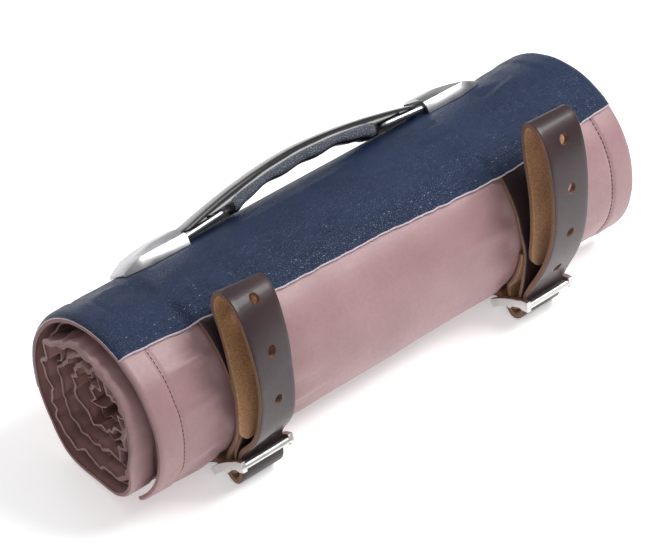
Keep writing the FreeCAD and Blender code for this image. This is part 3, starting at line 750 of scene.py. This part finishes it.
def billet_path(strap, start):
    """From the panel's back edge round the roll, through the buckle, to the folded free end."""
    station = Station(strap)
    points = on_outline(start, 360 + LOW_BAR_ANGLE, GAP + STRAP_T / 2)
    bulge = CHAPE_WRAP + CHAPE_T / 2 + STRAP_T / 2 + 2.1 * MM
    points += [
        station.at(-0.62 * BUCKLE_REACH, -0.9 * MM),
        station.at(-0.24 * BUCKLE_REACH, bulge),
        station.at(0.24 * BUCKLE_REACH, 0.86 * bulge),
        station.at(0.60 * BUCKLE_REACH, 1.2 * MM),
        station.at(BUCKLE_REACH, -BILLET_DEPTH - 1.9 * MM),
    ]
    for run in ("outer", "fold", "inner"):
        points += [around(angle, ROLL_RADIUS + height * MM) for angle, height in strap[run]]
    return points


# %% [markdown]
# ## Bending a strap along its path
# A path is a few chosen points. A natural cubic spline joins them with no kinks, as stiff leather
# does. Points of the flat strap then go to their distance along that curve and their height off it.

# %% Natural spline through the points
def spline_samples(points, spacing=0.3 * MM):
    """Even samples of a natural cubic spline through points."""
    knots = np.array(points)
    chord = np.concatenate([[0], np.cumsum(np.linalg.norm(np.diff(knots, axis=0), axis=1))])
    step = np.diff(chord)
    count = len(knots)
    system, right = np.eye(count), np.zeros((count, 2))
    for i in range(1, count - 1):
        system[i, i - 1:i + 2] = step[i - 1], 2 * (step[i - 1] + step[i]), step[i]
        slopes = (knots[i + 1] - knots[i]) / step[i] - (knots[i] - knots[i - 1]) / step[i - 1]
        right[i] = 6 * slopes
    bends = np.linalg.solve(system, right)
    at = np.linspace(0, chord[-1], int(chord[-1] / spacing))
    k = np.clip(np.searchsorted(chord, at, side="right") - 1, 0, count - 2)
    a, b, h = (chord[k + 1] - at)[:, None], (at - chord[k])[:, None], step[k][:, None]
    curve = (bends[k] * a ** 3 + bends[k + 1] * b ** 3) / (6 * h)
    curve += (knots[k] / h - bends[k] * h / 6) * a + (knots[k + 1] / h - bends[k + 1] * h / 6) * b
    return curve


class Path:
    """A curve in a cross-section, with its sideways directions, by distance along it."""

    def __init__(self, points):
        self.points = spline_samples(points)
        steps = np.linalg.norm(np.diff(self.points, axis=0), axis=1)
        self.run = np.concatenate([[0], np.cumsum(steps)])
        self.length = float(self.run[-1])
        tangent = np.gradient(self.points, axis=0)
        tangent /= np.linalg.norm(tangent, axis=1)[:, None]
        self.left = np.stack([-tangent[:, 1], tangent[:, 0]], axis=1)

    def place(self, along, height):
        columns = (*self.points.T, *self.left.T)
        y, z, ny, nz = (np.interp(along, self.run, column) for column in columns)
        return float(y + ny * height), float(z + nz * height)

    def nearest(self, point):
        """Distance along the path to where it comes closest to a point."""
        gaps = np.linalg.norm(self.points - np.array(point), axis=1)
        return float(self.run[int(np.argmin(gaps))])


# %% Cut and punch a strap flat
HOLE_RADIUS = 2.75 * MM
HOLE_PITCH = 25 * MM


def punch(bm, cutters):
    """Cut holes right through flat leather; cutters is another bmesh."""
    meshes = []
    for source in (bm, cutters):
        mesh = bpy.data.meshes.new("cutting")
        source.to_mesh(mesh)
        source.free()
        meshes.append(mesh)
    leather_piece, tool = (bpy.data.objects.new("cutting", mesh) for mesh in meshes)
    for thing in (leather_piece, tool):
        bpy.context.scene.collection.objects.link(thing)
    cut = leather_piece.modifiers.new("punch", "BOOLEAN")
    cut.operation, cut.solver, cut.object = "DIFFERENCE", "EXACT", tool
    graph = bpy.context.evaluated_depsgraph_get()
    result = bmesh.new()
    result.from_mesh(leather_piece.evaluated_get(graph).to_mesh())
    for thing in (leather_piece, tool):
        bpy.data.objects.remove(thing)
    for mesh in meshes:
        bpy.data.meshes.remove(mesh)
    return result


def strap_blank(length, thickness, tip_corner):
    """Flat strap with rounded long edges and a rounded tip at its far end."""
    columns = int(length / (1.1 * MM))
    bm = flat_sheet(length, STRAP_WIDTH, columns, 10)
    bmesh.ops.solidify(bm, geom=list(bm.faces), thickness=thickness)
    bmesh.ops.recalc_face_normals(bm, faces=bm.faces)
    bmesh.ops.translate(bm, verts=bm.verts, vec=(0, 0, thickness / 2))
    middle = sum(v.co.z for v in bm.verts) / len(bm.verts)
    bmesh.ops.translate(bm, verts=bm.verts, vec=(0, 0, -middle))
    bm.normal_update()
    rims = [
        edge for edge in bm.edges
        if len(edge.link_faces) == 2 and edge.calc_face_angle(0) > 1.2
    ]
    bmesh.ops.bevel(
        bm, geom=rims, offset=0.55 * MM, segments=3, profile=0.5, affect="EDGES", material=-1,
    )
    # Draw in the end towards its tip.
    for vert in bm.verts:
        past = (vert.co.x - (length - tip_corner)) / tip_corner
        if past > 0:
            vert.co.y *= math.sqrt(max(0.02, 1 - (0.92 * past) ** 2.6))
    return bm


def round_cutters(places, radius, depth):
    cutters = bmesh.new()
    for along, across in places:
        bmesh.ops.create_cone(
            cutters, cap_ends=True, segments=28, radius1=radius, radius2=radius, depth=depth,
            matrix=Matrix.Translation((along, across, 0)),
        )
    return cutters


def slot_cutter(first, last, width, depth):
    cutters = bmesh.new()
    bmesh.ops.create_cube(cutters, size=1.0)
    bmesh.ops.scale(cutters, verts=cutters.verts, vec=(last - first, width, depth))
    bmesh.ops.translate(cutters, verts=cutters.verts, vec=((first + last) / 2, 0, 0))
    return cutters


def bend_strap(bm, path, x, lean=None):
    """Bend a strap along its path; lean gives its sideways shift and twist at a distance along."""
    def place(along, across, height):
        aside, twist = lean(along) if lean else (0.0, 0.0)
        y, z = path.place(along, height - twist * across)
        return Vector((x + across + aside, y, z))

    bend(bm, place)


# %% Make both billets and both chapes
CHAPE_SLOT = 5.2 * MM
RIVET_ANGLE = -99.0


def lean_of_free_end(path, strap):
    """The free end leans: to the right as it rises to its fold, and back to the left inside."""
    station = Station(strap)
    low = path.nearest(station.front)
    crown = path.nearest(around(strap["fold"][1][0], ROLL_RADIUS + strap["fold"][1][1] * MM))
    runs = (0, low, 0.5 * (low + crown), crown, 0.5 * (crown + path.length), path.length)
    asides = [part * MM for part in (0, 0, *strap["lean"])]
    twists = (0, 0, strap["twist"], 0.3 * strap["twist"], 0, 0)

    def lean(along):
        return float(np.interp(along, runs, asides)), float(np.interp(along, runs, twists))

    return lean


def make_billet(side, strap):
    start = math.degrees(PANEL_BACK - TAB_LENGTH / ROLL_RADIUS)
    path = Path(billet_path(strap, start))
    station = Station(strap)
    bm = strap_blank(path.length, STRAP_T, 14 * MM)
    first = path.nearest(station.at(-0.60 * BUCKLE_REACH, 1.6 * MM))
    places = [(first, 0)]
    for number in range(5):
        along = first + strap["holes_from"] * MM + number * HOLE_PITCH
        if along < path.length - 12 * MM:
            places.append((along, 0))
    bm = punch(bm, round_cutters(places, HOLE_RADIUS, 3 * STRAP_T))
    mark_sides(bm)
    bend_strap(bm, path, STRAP_X[side], lean_of_free_end(path, strap))
    billet = new_piece(f"billet_{side}", bm, [BROWN, SUEDE, BROWN_EDGE])
    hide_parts(f"strap_{side}")
    return billet


def make_chape(side, strap):
    x = STRAP_X[side]
    top = math.degrees(front_edge(x) + TAB_LENGTH / ROLL_RADIUS)
    path = Path(chape_path(strap, top))
    station = Station(strap)
    bm = strap_blank(path.length, CHAPE_T, 2 * MM)
    wrap = path.nearest(station.at(-CHAPE_WRAP, 0))
    bm = punch(bm, slot_cutter(wrap - 7 * MM, wrap + 7 * MM, CHAPE_SLOT, 3 * CHAPE_T))
    places = [
        (path.nearest(around(RIVET_ANGLE, rho)), 0) for rho in (CHAPE_RHO, PLY_RHO + CHAPE_T)
    ]
    bm = punch(bm, round_cutters(places, 1.7 * MM, 3 * CHAPE_T))
    mark_sides(bm)
    bend_strap(bm, path, x)
    chape = new_piece(f"chape_strip_{side}", bm, [BROWN, SUEDE, BROWN_EDGE])
    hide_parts(f"chape_{side}")
    return chape


for side, strap in STRAPS.items():
    make_billet(side, strap)
    make_chape(side, strap)

# %% [markdown]
# ## Stitching
# Each stitch is a short piece of thread that dips into the leather at both ends. They are made flat
# as small rounded bars and bent with their leather.

# %% Thread
THREAD_RAISE = 0.05 * MM
WORN_SHARE = 0.6           # of a whole stitch's size
THREAD_NAVY = leather(
    "navy_thread", (0.004, 0.007, 0.018), (0.012, 0.018, 0.036),
    0.7, 0.25, 0.05 * MM,
)
THREAD_PALE = leather("pale_thread", (0.20, 0.24, 0.32), (0.38, 0.42, 0.50), 0.7, 0.25, 0.05 * MM)
# The hem thread is darker than the thread alone: its colour also holds painted shade for the seam's
# groove.
THREAD_DARK_AND_SEAM_SHADE = leather(
    "dark_thread_and_seam_shade", (0.05, 0.03, 0.035), (0.09, 0.055, 0.06),
    0.7, 0.25, 0.05 * MM,
)


def add_stitches(bm, places, length, radius, worn=0.0):
    """Small thread bars; each place is (along, across, height, turned), turned when it runs across.
    A worn stitch shows its pale core and takes the second material."""
    for along, across, height, turned in places:
        made = bmesh.ops.create_uvsphere(bm, u_segments=6, v_segments=5, radius=0.5)
        size = (2 * radius, length, 1.4 * radius) if turned else (length, 2 * radius, 1.4 * radius)
        if wave(along / (3 * MM), across / (2.1 * MM), 5.5) > 0.5 - worn:
            size = tuple(WORN_SHARE * part for part in size)
            for face in {face for vert in made["verts"] for face in vert.link_faces}:
                face.material_index = 1
        bmesh.ops.scale(bm, verts=made["verts"], vec=size)
        bmesh.ops.translate(bm, verts=made["verts"], vec=(along, across, height))


def panel_stitch_place(along, x, height):
    """As panel_place, but along is a distance from the front edge."""
    first = front_edge(x)
    share = along / ((PANEL_BACK - first) * PANEL_RADIUS)
    return panel_place(share, x, height)


def row_along_roll(along, first, last, pitch):
    count = int((last - first) / pitch)
    return [(along, first + (i + 0.5) * pitch, THREAD_RAISE, True) for i in range(count)]


def row_across(x, first, last, pitch):
    count = int((last - first) / pitch)
    return [(first + (i + 0.5) * pitch, x, THREAD_RAISE, False) for i in range(count)]


# %% Seams of the panel
FRONT_ROWS = (4.0 * MM, 8.5 * MM)    # from the front edge
FRONT_PITCH, PLAIN_PITCH, PATCH_PITCH = 2.7 * MM, 3.4 * MM, 3.0 * MM
PATCHES = (*STRAP_X.values(), -21 * MM)


def make_panel_stitches():
    reach = HALF_LENGTH - 3 * MM
    deep = (PANEL_BACK - front_edge(0)) * PANEL_RADIUS - 6 * MM
    seams = bmesh.new()
    rows = []
    for along in FRONT_ROWS:
        rows += row_along_roll(along, -reach, reach, FRONT_PITCH)
    rows += row_along_roll(deep, -reach, reach, PLAIN_PITCH)
    for end in (-1, 1):
        rows += row_across(end * (HALF_LENGTH - HEM), FRONT_ROWS[0], deep, PLAIN_PITCH)
    for middle in PATCHES:
        # Four rows, each a little shorter, hold a strap's end.
        for k in range(4):
            half = (9 - k) * MM
            along = (11 + 2.6 * k) * MM
            rows += row_along_roll(along, middle - half, middle + half, PATCH_PITCH)
    add_stitches(seams, rows, 1.9 * MM, 0.26 * MM, 0.22)
    bend(seams, panel_stitch_place)
    new_piece("panel_stitches", seams, [THREAD_NAVY, THREAD_PALE])


make_panel_stitches()

# %% Hem seams of the cover
HEM_SEAM_END, HEM_PITCH = 295 * MM, 2.6 * MM


def make_cover_stitches():
    seams = bmesh.new()
    rows = []
    for end in (-1, 1):
        rows += row_across(end * (HALF_LENGTH - HEM), 3 * MM, HEM_SEAM_END, HEM_PITCH)
    add_stitches(seams, rows, 2.5 * MM, 0.34 * MM)
    bend(seams, cover_place)
    # The hem stitches' dark colour is partly the thread and partly painted shade of the seam line.
    new_piece("hem_stitches", seams, [THREAD_DARK_AND_SEAM_SHADE, THREAD_DARK_AND_SEAM_SHADE])


make_cover_stitches()

# %% [markdown]
# ## Metal and plastic
# Buckles, caps and links are plated: a mirror with a little haze and fine wear. The grip is smooth
# black plastic, with grained pads let into its sides. Noise changes the colour and the roughness
# together, so that a hazy place is also a duller one.

# %% Plating and plastic
HAZE_PER_METRE = 160.0
HAZE_DEPTH = 0.01 * MM
HAZE_DARKEST = 0.86


def plated(name, colour, rough, wear):
    material, nodes, links, shader = blank_material(name)
    where = nodes.new("ShaderNodeTexCoord")
    haze = nodes.new("ShaderNodeTexNoise")
    input_of(haze, "Scale", HAZE_PER_METRE)
    input_of(haze, "Detail", 5.0)
    links.new(where.outputs["Object"], haze.inputs["Vector"])
    amount = haze.outputs["Fac"]
    dark = tuple(HAZE_DARKEST * c for c in colour)
    links.new(ramp(nodes, links, amount, dark, colour), shader.inputs["Base Color"])
    rough_out = value_range(nodes, links, amount, rough, rough + wear)
    links.new(rough_out, shader.inputs["Roughness"])
    input_of(shader, "Metallic", 1.0)
    links.new(bump(nodes, links, amount, HAZE_DEPTH), shader.inputs["Normal"])
    return material


CHROME = plated("bright_chrome", (0.56, 0.56, 0.58), 0.26, 0.16)
NICKEL = plated("satin_nickel", (0.80, 0.79, 0.77), 0.32, 0.16)
STEEL = plated("zinc_steel", (0.55, 0.55, 0.56), 0.35, 0.15)
GRIP_BLACK = leather(
    "grip_black", (0.008, 0.008, 0.009), (0.013, 0.013, 0.015),
    0.26, 0.5, 0.01 * MM, 0.5, 0.0, 0.2,
)
GRIP_GRAIN = leather(
    "grip_grain", (0.06, 0.07, 0.095), (0.17, 0.185, 0.22),
    0.5, 1.3, 0.45 * MM, 0.3, speckle=0.7,
)

# %% [markdown]
# ## The grip
# A moulded case handle is a rounded bar that thins towards its ends. It can be lofted: a flat grid
# is bent into a tube, station by station, and each station is a superellipse, which is a box with
# very round corners. Channels for the wire links are then cut into the sides of both ends.

# %% Shape of the grip
HANDLE_TOP = 48.75 * MM
GRIP_HALF, GRIP_WIDE = 76 * MM, 9 * MM
FINGER_HALF, FINGER_ROOM = 42 * MM, 5.9 * MM
GRIP_CROWN, GRIP_DROP, GRIP_CURVE = 15.75 * MM, 10.5 * MM, 1.75
GRIP_LIFT = 0.4 * MM       # clear of the panel at rest
SCALLOP, SCALLOP_PITCH, SCALLOP_HALF = 0.45 * MM, 22 * MM, 30 * MM
END_ROUND = 5 * MM
SQUARENESS = 2.9           # 2 is an ellipse, and more is squarer


def from_handle(x, y, z):
    """From the handle's own directions (across is y, up is z from the roll's axis) to the frame."""
    turned = Matrix.Rotation(-HANDLE_TURN, 3, "X") @ Vector((x, y, z))
    return turned + Vector((0, AXIS_Y, AXIS_Z))


def grip_top(x):
    return HANDLE_TOP + GRIP_CROWN - GRIP_DROP * (abs(x) / GRIP_HALF) ** GRIP_CURVE


def grip_under(x):
    rise = FINGER_ROOM * max(0.0, 1 - (abs(x) / FINGER_HALF) ** 4)
    scallop = SCALLOP * (1 - math.cos(math.tau * x / SCALLOP_PITCH))
    scallop *= smooth_step(FINGER_HALF, SCALLOP_HALF, abs(x))
    return HANDLE_TOP + GRIP_LIFT + rise - scallop


def grip_section(x):
    """Middle height, half height and half width of the grip."""
    low, high = grip_under(x), grip_top(x)
    past = max(0.0, (abs(x) - (GRIP_HALF - END_ROUND)) / END_ROUND)
    close = math.sqrt(max(0.0, 1 - min(1.0, past) ** 2))
    half = (high - low) / 2 * (0.25 + 0.75 * close)
    return (low + high) / 2, half, GRIP_WIDE * (0.3 + 0.7 * close)


def grip_side(x, z):
    """Half width of the grip at a height."""
    middle, half, wide = grip_section(x)
    part = min(1.0, abs(z - middle) / half)
    return wide * (1 - part ** SQUARENESS) ** (1 / SQUARENESS)


def squared(value):
    return math.copysign(abs(value) ** (2 / SQUARENESS), value)


def grip_place(along, turn, _):
    """A point of the grip's skin, at a turn round its section."""
    middle, half, wide = grip_section(along)
    y, z = wide * squared(math.cos(turn)), middle + half * squared(math.sin(turn))
    return from_handle(along, y, z)


# %% Cutters for the grip's ends
LINK_INNER, WEB = 46.5 * MM, 5.1 * MM
CHANNEL_SIZE = (38 * MM, 6 * MM, 9 * MM)
CHANNEL_TOP, CHANNEL_FOOT = 55.1 * MM, 45 * MM
CHANNEL_FALL = 2 / 37.5
SLOT_MIDDLE, SLOT_HALF = (54.05 * MM, 53 * MM), (7.55 * MM, 2.1 * MM)


def channel_cutters():
    """Open channels beside the web at both ends."""
    cutters = bmesh.new()
    for end in (-1, 1):
        for side in (-1, 1):
            made = bmesh.ops.create_cube(cutters, size=1.0)["verts"]
            bmesh.ops.scale(cutters, verts=made, vec=CHANNEL_SIZE)
            for vert in made:
                from_start = CHANNEL_SIZE[0] / 2 + vert.co.x
                top = CHANNEL_TOP - CHANNEL_FALL * from_start
                z = top if vert.co.z > 0 else CHANNEL_FOOT
                y = side * (WEB + CHANNEL_SIZE[1] / 2) + vert.co.y
                vert.co = from_handle(end * (LINK_INNER + from_start), y, z)
    bmesh.ops.recalc_face_normals(cutters, faces=cutters.faces)
    return cutters


def bar_slots():
    """A slot through the web at both ends, in which the link's inner bar slides."""
    cutters = bmesh.new()
    for end in (-1, 1):
        made = bmesh.ops.create_cube(cutters, size=1.0)["verts"]
        for vert in made:
            x = SLOT_MIDDLE[0] + math.copysign(SLOT_HALF[0], vert.co.x)
            z = SLOT_MIDDLE[1] + math.copysign(SLOT_HALF[1], vert.co.z)
            vert.co = from_handle(end * x, 24 * MM * vert.co.y, z)
    bmesh.ops.recalc_face_normals(cutters, faces=cutters.faces)
    return cutters


# %% Loft the grip
BOSS_X, BOSS_Z, BOSS_RADIUS = 70 * MM, 51.8 * MM, 2.2 * MM


def add_boss(bm, end):
    """The small dimpled boss that covers the moulding's screw."""
    place = Matrix.Translation(from_handle(end * BOSS_X, 0, BOSS_Z))
    turn = Matrix.Rotation(-HANDLE_TURN, 4, "X") @ Matrix.Rotation(math.pi / 2, 4, "X")
    made = bmesh.ops.create_cone(
        bm, cap_ends=True, segments=32, radius1=BOSS_RADIUS, radius2=BOSS_RADIUS,
        depth=2 * (WEB + 0.5 * MM), matrix=place @ turn,
    )["verts"]
    caps = {face for vert in made for face in vert.link_faces if len(face.verts) > 4}
    bmesh.ops.inset_region(bm, faces=list(caps), thickness=0.7 * MM, depth=-0.4 * MM)


def make_grip():
    bm = bmesh.new()
    bmesh.ops.create_grid(bm, x_segments=150, y_segments=44, size=0.5)
    bmesh.ops.scale(bm, verts=bm.verts, vec=(2 * GRIP_HALF, math.tau, 1))
    bend(bm, grip_place)
    bmesh.ops.remove_doubles(bm, verts=bm.verts, dist=0.001 * MM)
    bmesh.ops.holes_fill(bm, edges=bm.edges, sides=0)
    bmesh.ops.recalc_face_normals(bm, faces=bm.faces)
    bm = punch(punch(bm, channel_cutters()), bar_slots())
    for end in (-1, 1):
        add_boss(bm, end)
    grip = new_piece("grip", bm, [GRIP_BLACK], body="grip")
    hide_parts("grip_shell")


make_grip()

# %% Grained pads in the grip's sides
PAD_HALF = 45 * MM


def make_pad(name, side, node):
    def place(along, across, height):
        end = smooth_step(PAD_HALF, PAD_HALF - 3 * MM, abs(along))
        low = grip_under(along) + 1.3 * MM
        high = grip_top(along) - 3.3 * MM
        z = (low + high) / 2 + across * (high - low) * (0.9 + 0.1 * end)
        rim = smooth_step(0.5, 0.42, abs(across))
        rim *= smooth_step(PAD_HALF, PAD_HALF - 1.5 * MM, abs(along))
        out = grip_side(along, z) + height + 0.1 * MM + 0.35 * MM * rim
        return from_handle(along, side * out, z)

    bm = flat_sheet(2 * PAD_HALF, 1.0, 120, 24)
    bmesh.ops.translate(bm, verts=bm.verts, vec=(-PAD_HALF, 0, 0))
    thicken(bm, 1.0 * MM)
    bend(bm, place)
    bmesh.ops.recalc_face_normals(bm, faces=bm.faces)
    pad = new_piece(name, bm, [GRIP_GRAIN, GRIP_GRAIN, GRIP_BLACK], body="grip")
    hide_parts(node)


make_pad("pad_front", -1, "grip_pad_front")
make_pad("pad_back", 1, "grip_pad_back")

# %% [markdown]
# ## Rounded castings
# The CAD frame's caps and buckles have sharp edges, and cast metal never has. A copy of the mesh is
# merged, its flat triangles are joined, and a Bevel modifier rounds every edge that turns sharply.

# %% Round the edges of caps and buckles
CAST_EDGE = math.radians(30)


def rounded_copy(name, node, width, finish, reshape=None):
    bm = bmesh.new()
    bm.from_mesh(frame["nodes"][node].data)
    bmesh.ops.remove_doubles(bm, verts=bm.verts, dist=0.002 * MM)
    bmesh.ops.dissolve_limit(bm, angle_limit=math.radians(1.0), verts=bm.verts, edges=bm.edges)
    if reshape:
        for vert in bm.verts:
            vert.co = reshape(vert.co)
    for face in bm.faces:
        face.material_index = 0
    bodies = frame["record"]["behaviour"]["bodies"]
    body = next(body for body, nodes in bodies.items() if node in nodes)
    piece = new_piece(name, bm, [finish], body=body, smooth=False)
    piece.data.shade_smooth()
    rounding = piece.modifiers.new("rounding", "BEVEL")
    rounding.width, rounding.segments = width, 3
    rounding.limit_method, rounding.angle_limit = "ANGLE", CAST_EDGE
    rounding.harden_normals = True
    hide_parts(node)
    return piece


def fuller_front_bar(side):
    """The cast front bar is oval and thicker than its neighbours."""
    station = Station(STRAPS[side])

    def reshape(point):
        y, z = point.y - station.centre[0], point.z - station.centre[1]
        along = y * station.along[0] + z * station.along[1]
        out = y * station.out[0] + z * station.out[1]
        near = smooth_step(BUCKLE_REACH - 3 * MM, BUCKLE_REACH - 1.7 * MM, along)
        along += near * (0.35 * (along - BUCKLE_REACH) + 0.5 * MM)
        out += near * (0.35 * out + 0.45 * MM)
        y, z = station.at(along, out)
        return Vector((point.x, y, z))

    return reshape


FINISHES = {
    "handle_link_left": CHROME, "handle_link_right": CHROME,
    "prong_left": NICKEL, "prong_right": NICKEL,
    "chape_rivets": NICKEL, "cap_screws": STEEL,
    "backing_plate_left": STEEL, "backing_plate_right": STEEL,
}
for side in ("left", "right"):
    rounded_copy(f"cap_{side}", f"handle_cap_{side}", 0.8 * MM, CHROME)
    fuller = fuller_front_bar(side)
    rounded_copy(f"frame_{side}", f"buckle_{side}", 0.5 * MM, NICKEL, fuller)

for node, finish in FINISHES.items():
    for slot in frame["nodes"][node].material_slots:
        slot.material = finish

# %% [markdown]
# ## Floor, light and camera
# A pale floor and large soft lights show leather best: the grain needs one light low enough to
# graze it, and the chrome needs something bright and something dark to reflect.

# %% Floor
def make_floor():
    bm = bmesh.new()
    bmesh.ops.create_grid(bm, x_segments=1, y_segments=1, size=3.0)
    mesh = bpy.data.meshes.new("floor")
    bm.to_mesh(mesh)
    bm.free()
    material, _, _, shader = blank_material("pale_floor")
    input_of(shader, "Base Color", (0.95, 0.95, 0.95, 1))
    input_of(shader, "Roughness", 0.8)
    input_of(shader, "Emission Color", (1, 1, 1, 1))
    input_of(shader, "Emission Strength", 0.4)
    mesh.materials.append(material)
    floor = bpy.data.objects.new("floor", mesh)
    floor.location.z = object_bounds()[0][2] - 0.0002
    bpy.context.scene.collection.objects.link(floor)


make_floor()

# %% Lights
CENTRE = Vector((0, AXIS_Y, AXIS_Z))


def area_light(name, place, size, power, colour=(1, 1, 1)):
    data = bpy.data.lights.new(name, "AREA")
    data.shape, data.size, data.energy, data.color = "DISK", size, power, colour
    lamp = bpy.data.objects.new(name, data)
    lamp.location = CENTRE + Vector(place)
    lamp.rotation_euler = (-Vector(place)).to_track_quat("-Z", "Y").to_euler()
    bpy.context.scene.collection.objects.link(lamp)


area_light("key", (0.62, -0.42, 1.05), 0.7, 14.6)
area_light("fill", (-1.5, -0.9, 0.9), 1.2, 1.0)
area_light("back", (0.2, 1.7, 1.1), 1.2, 10)

# %% Sky: bright overhead and dark near the horizon, so that metal has something to show
def make_sky():
    world = bpy.data.worlds.new("studio")
    bpy.context.scene.world = world
    world.use_nodes = True
    nodes, links = world.node_tree.nodes, world.node_tree.links
    where = nodes.new("ShaderNodeTexCoord")
    split = nodes.new("ShaderNodeSeparateXYZ")
    links.new(where.outputs["Generated"], split.inputs[0])
    sky = nodes.new("ShaderNodeValToRGB")
    stops = ((0.0, 0.55), (0.08, 0.16), (0.30, 0.12), (0.45, 0.75), (0.75, 0.95), (1.0, 0.7))
    first, last = sky.color_ramp.elements
    first.position, first.color = stops[0][0], (stops[0][1],) * 3 + (1,)
    last.position, last.color = stops[-1][0], (stops[-1][1],) * 3 + (1,)
    for position, level in stops[1:-1]:
        sky.color_ramp.elements.new(position).color = (level, level, level, 1)
    links.new(split.outputs["Z"], sky.inputs["Fac"])
    back = nodes["Background"]
    links.new(sky.outputs["Color"], back.inputs["Color"])
    input_of(back, "Strength", 0.6)


make_sky()
bpy.context.scene.view_settings.view_transform = "Standard"

# %% Camera
VIEW_TURN, VIEW_RISE, VIEW_DISTANCE = -42.25, 39.06, 1.5


def make_camera():
    turn, rise = math.radians(VIEW_TURN), math.radians(VIEW_RISE)
    level = math.cos(rise)
    back = Vector((math.sin(turn) * level, -math.cos(turn) * level, math.sin(rise)))
    data = bpy.data.cameras.new("camera")
    data.sensor_width, data.lens = 36.0, 169.55
    data.shift_x, data.shift_y = -0.0190, -0.0091
    data.clip_start = 0.05
    camera = bpy.data.objects.new("camera", data)
    camera.location = CENTRE + VIEW_DISTANCE * back
    camera.rotation_euler = (-back).to_track_quat("-Z", "Y").to_euler()
    bpy.context.scene.collection.objects.link(camera)
    bpy.context.scene.camera = camera


make_camera()
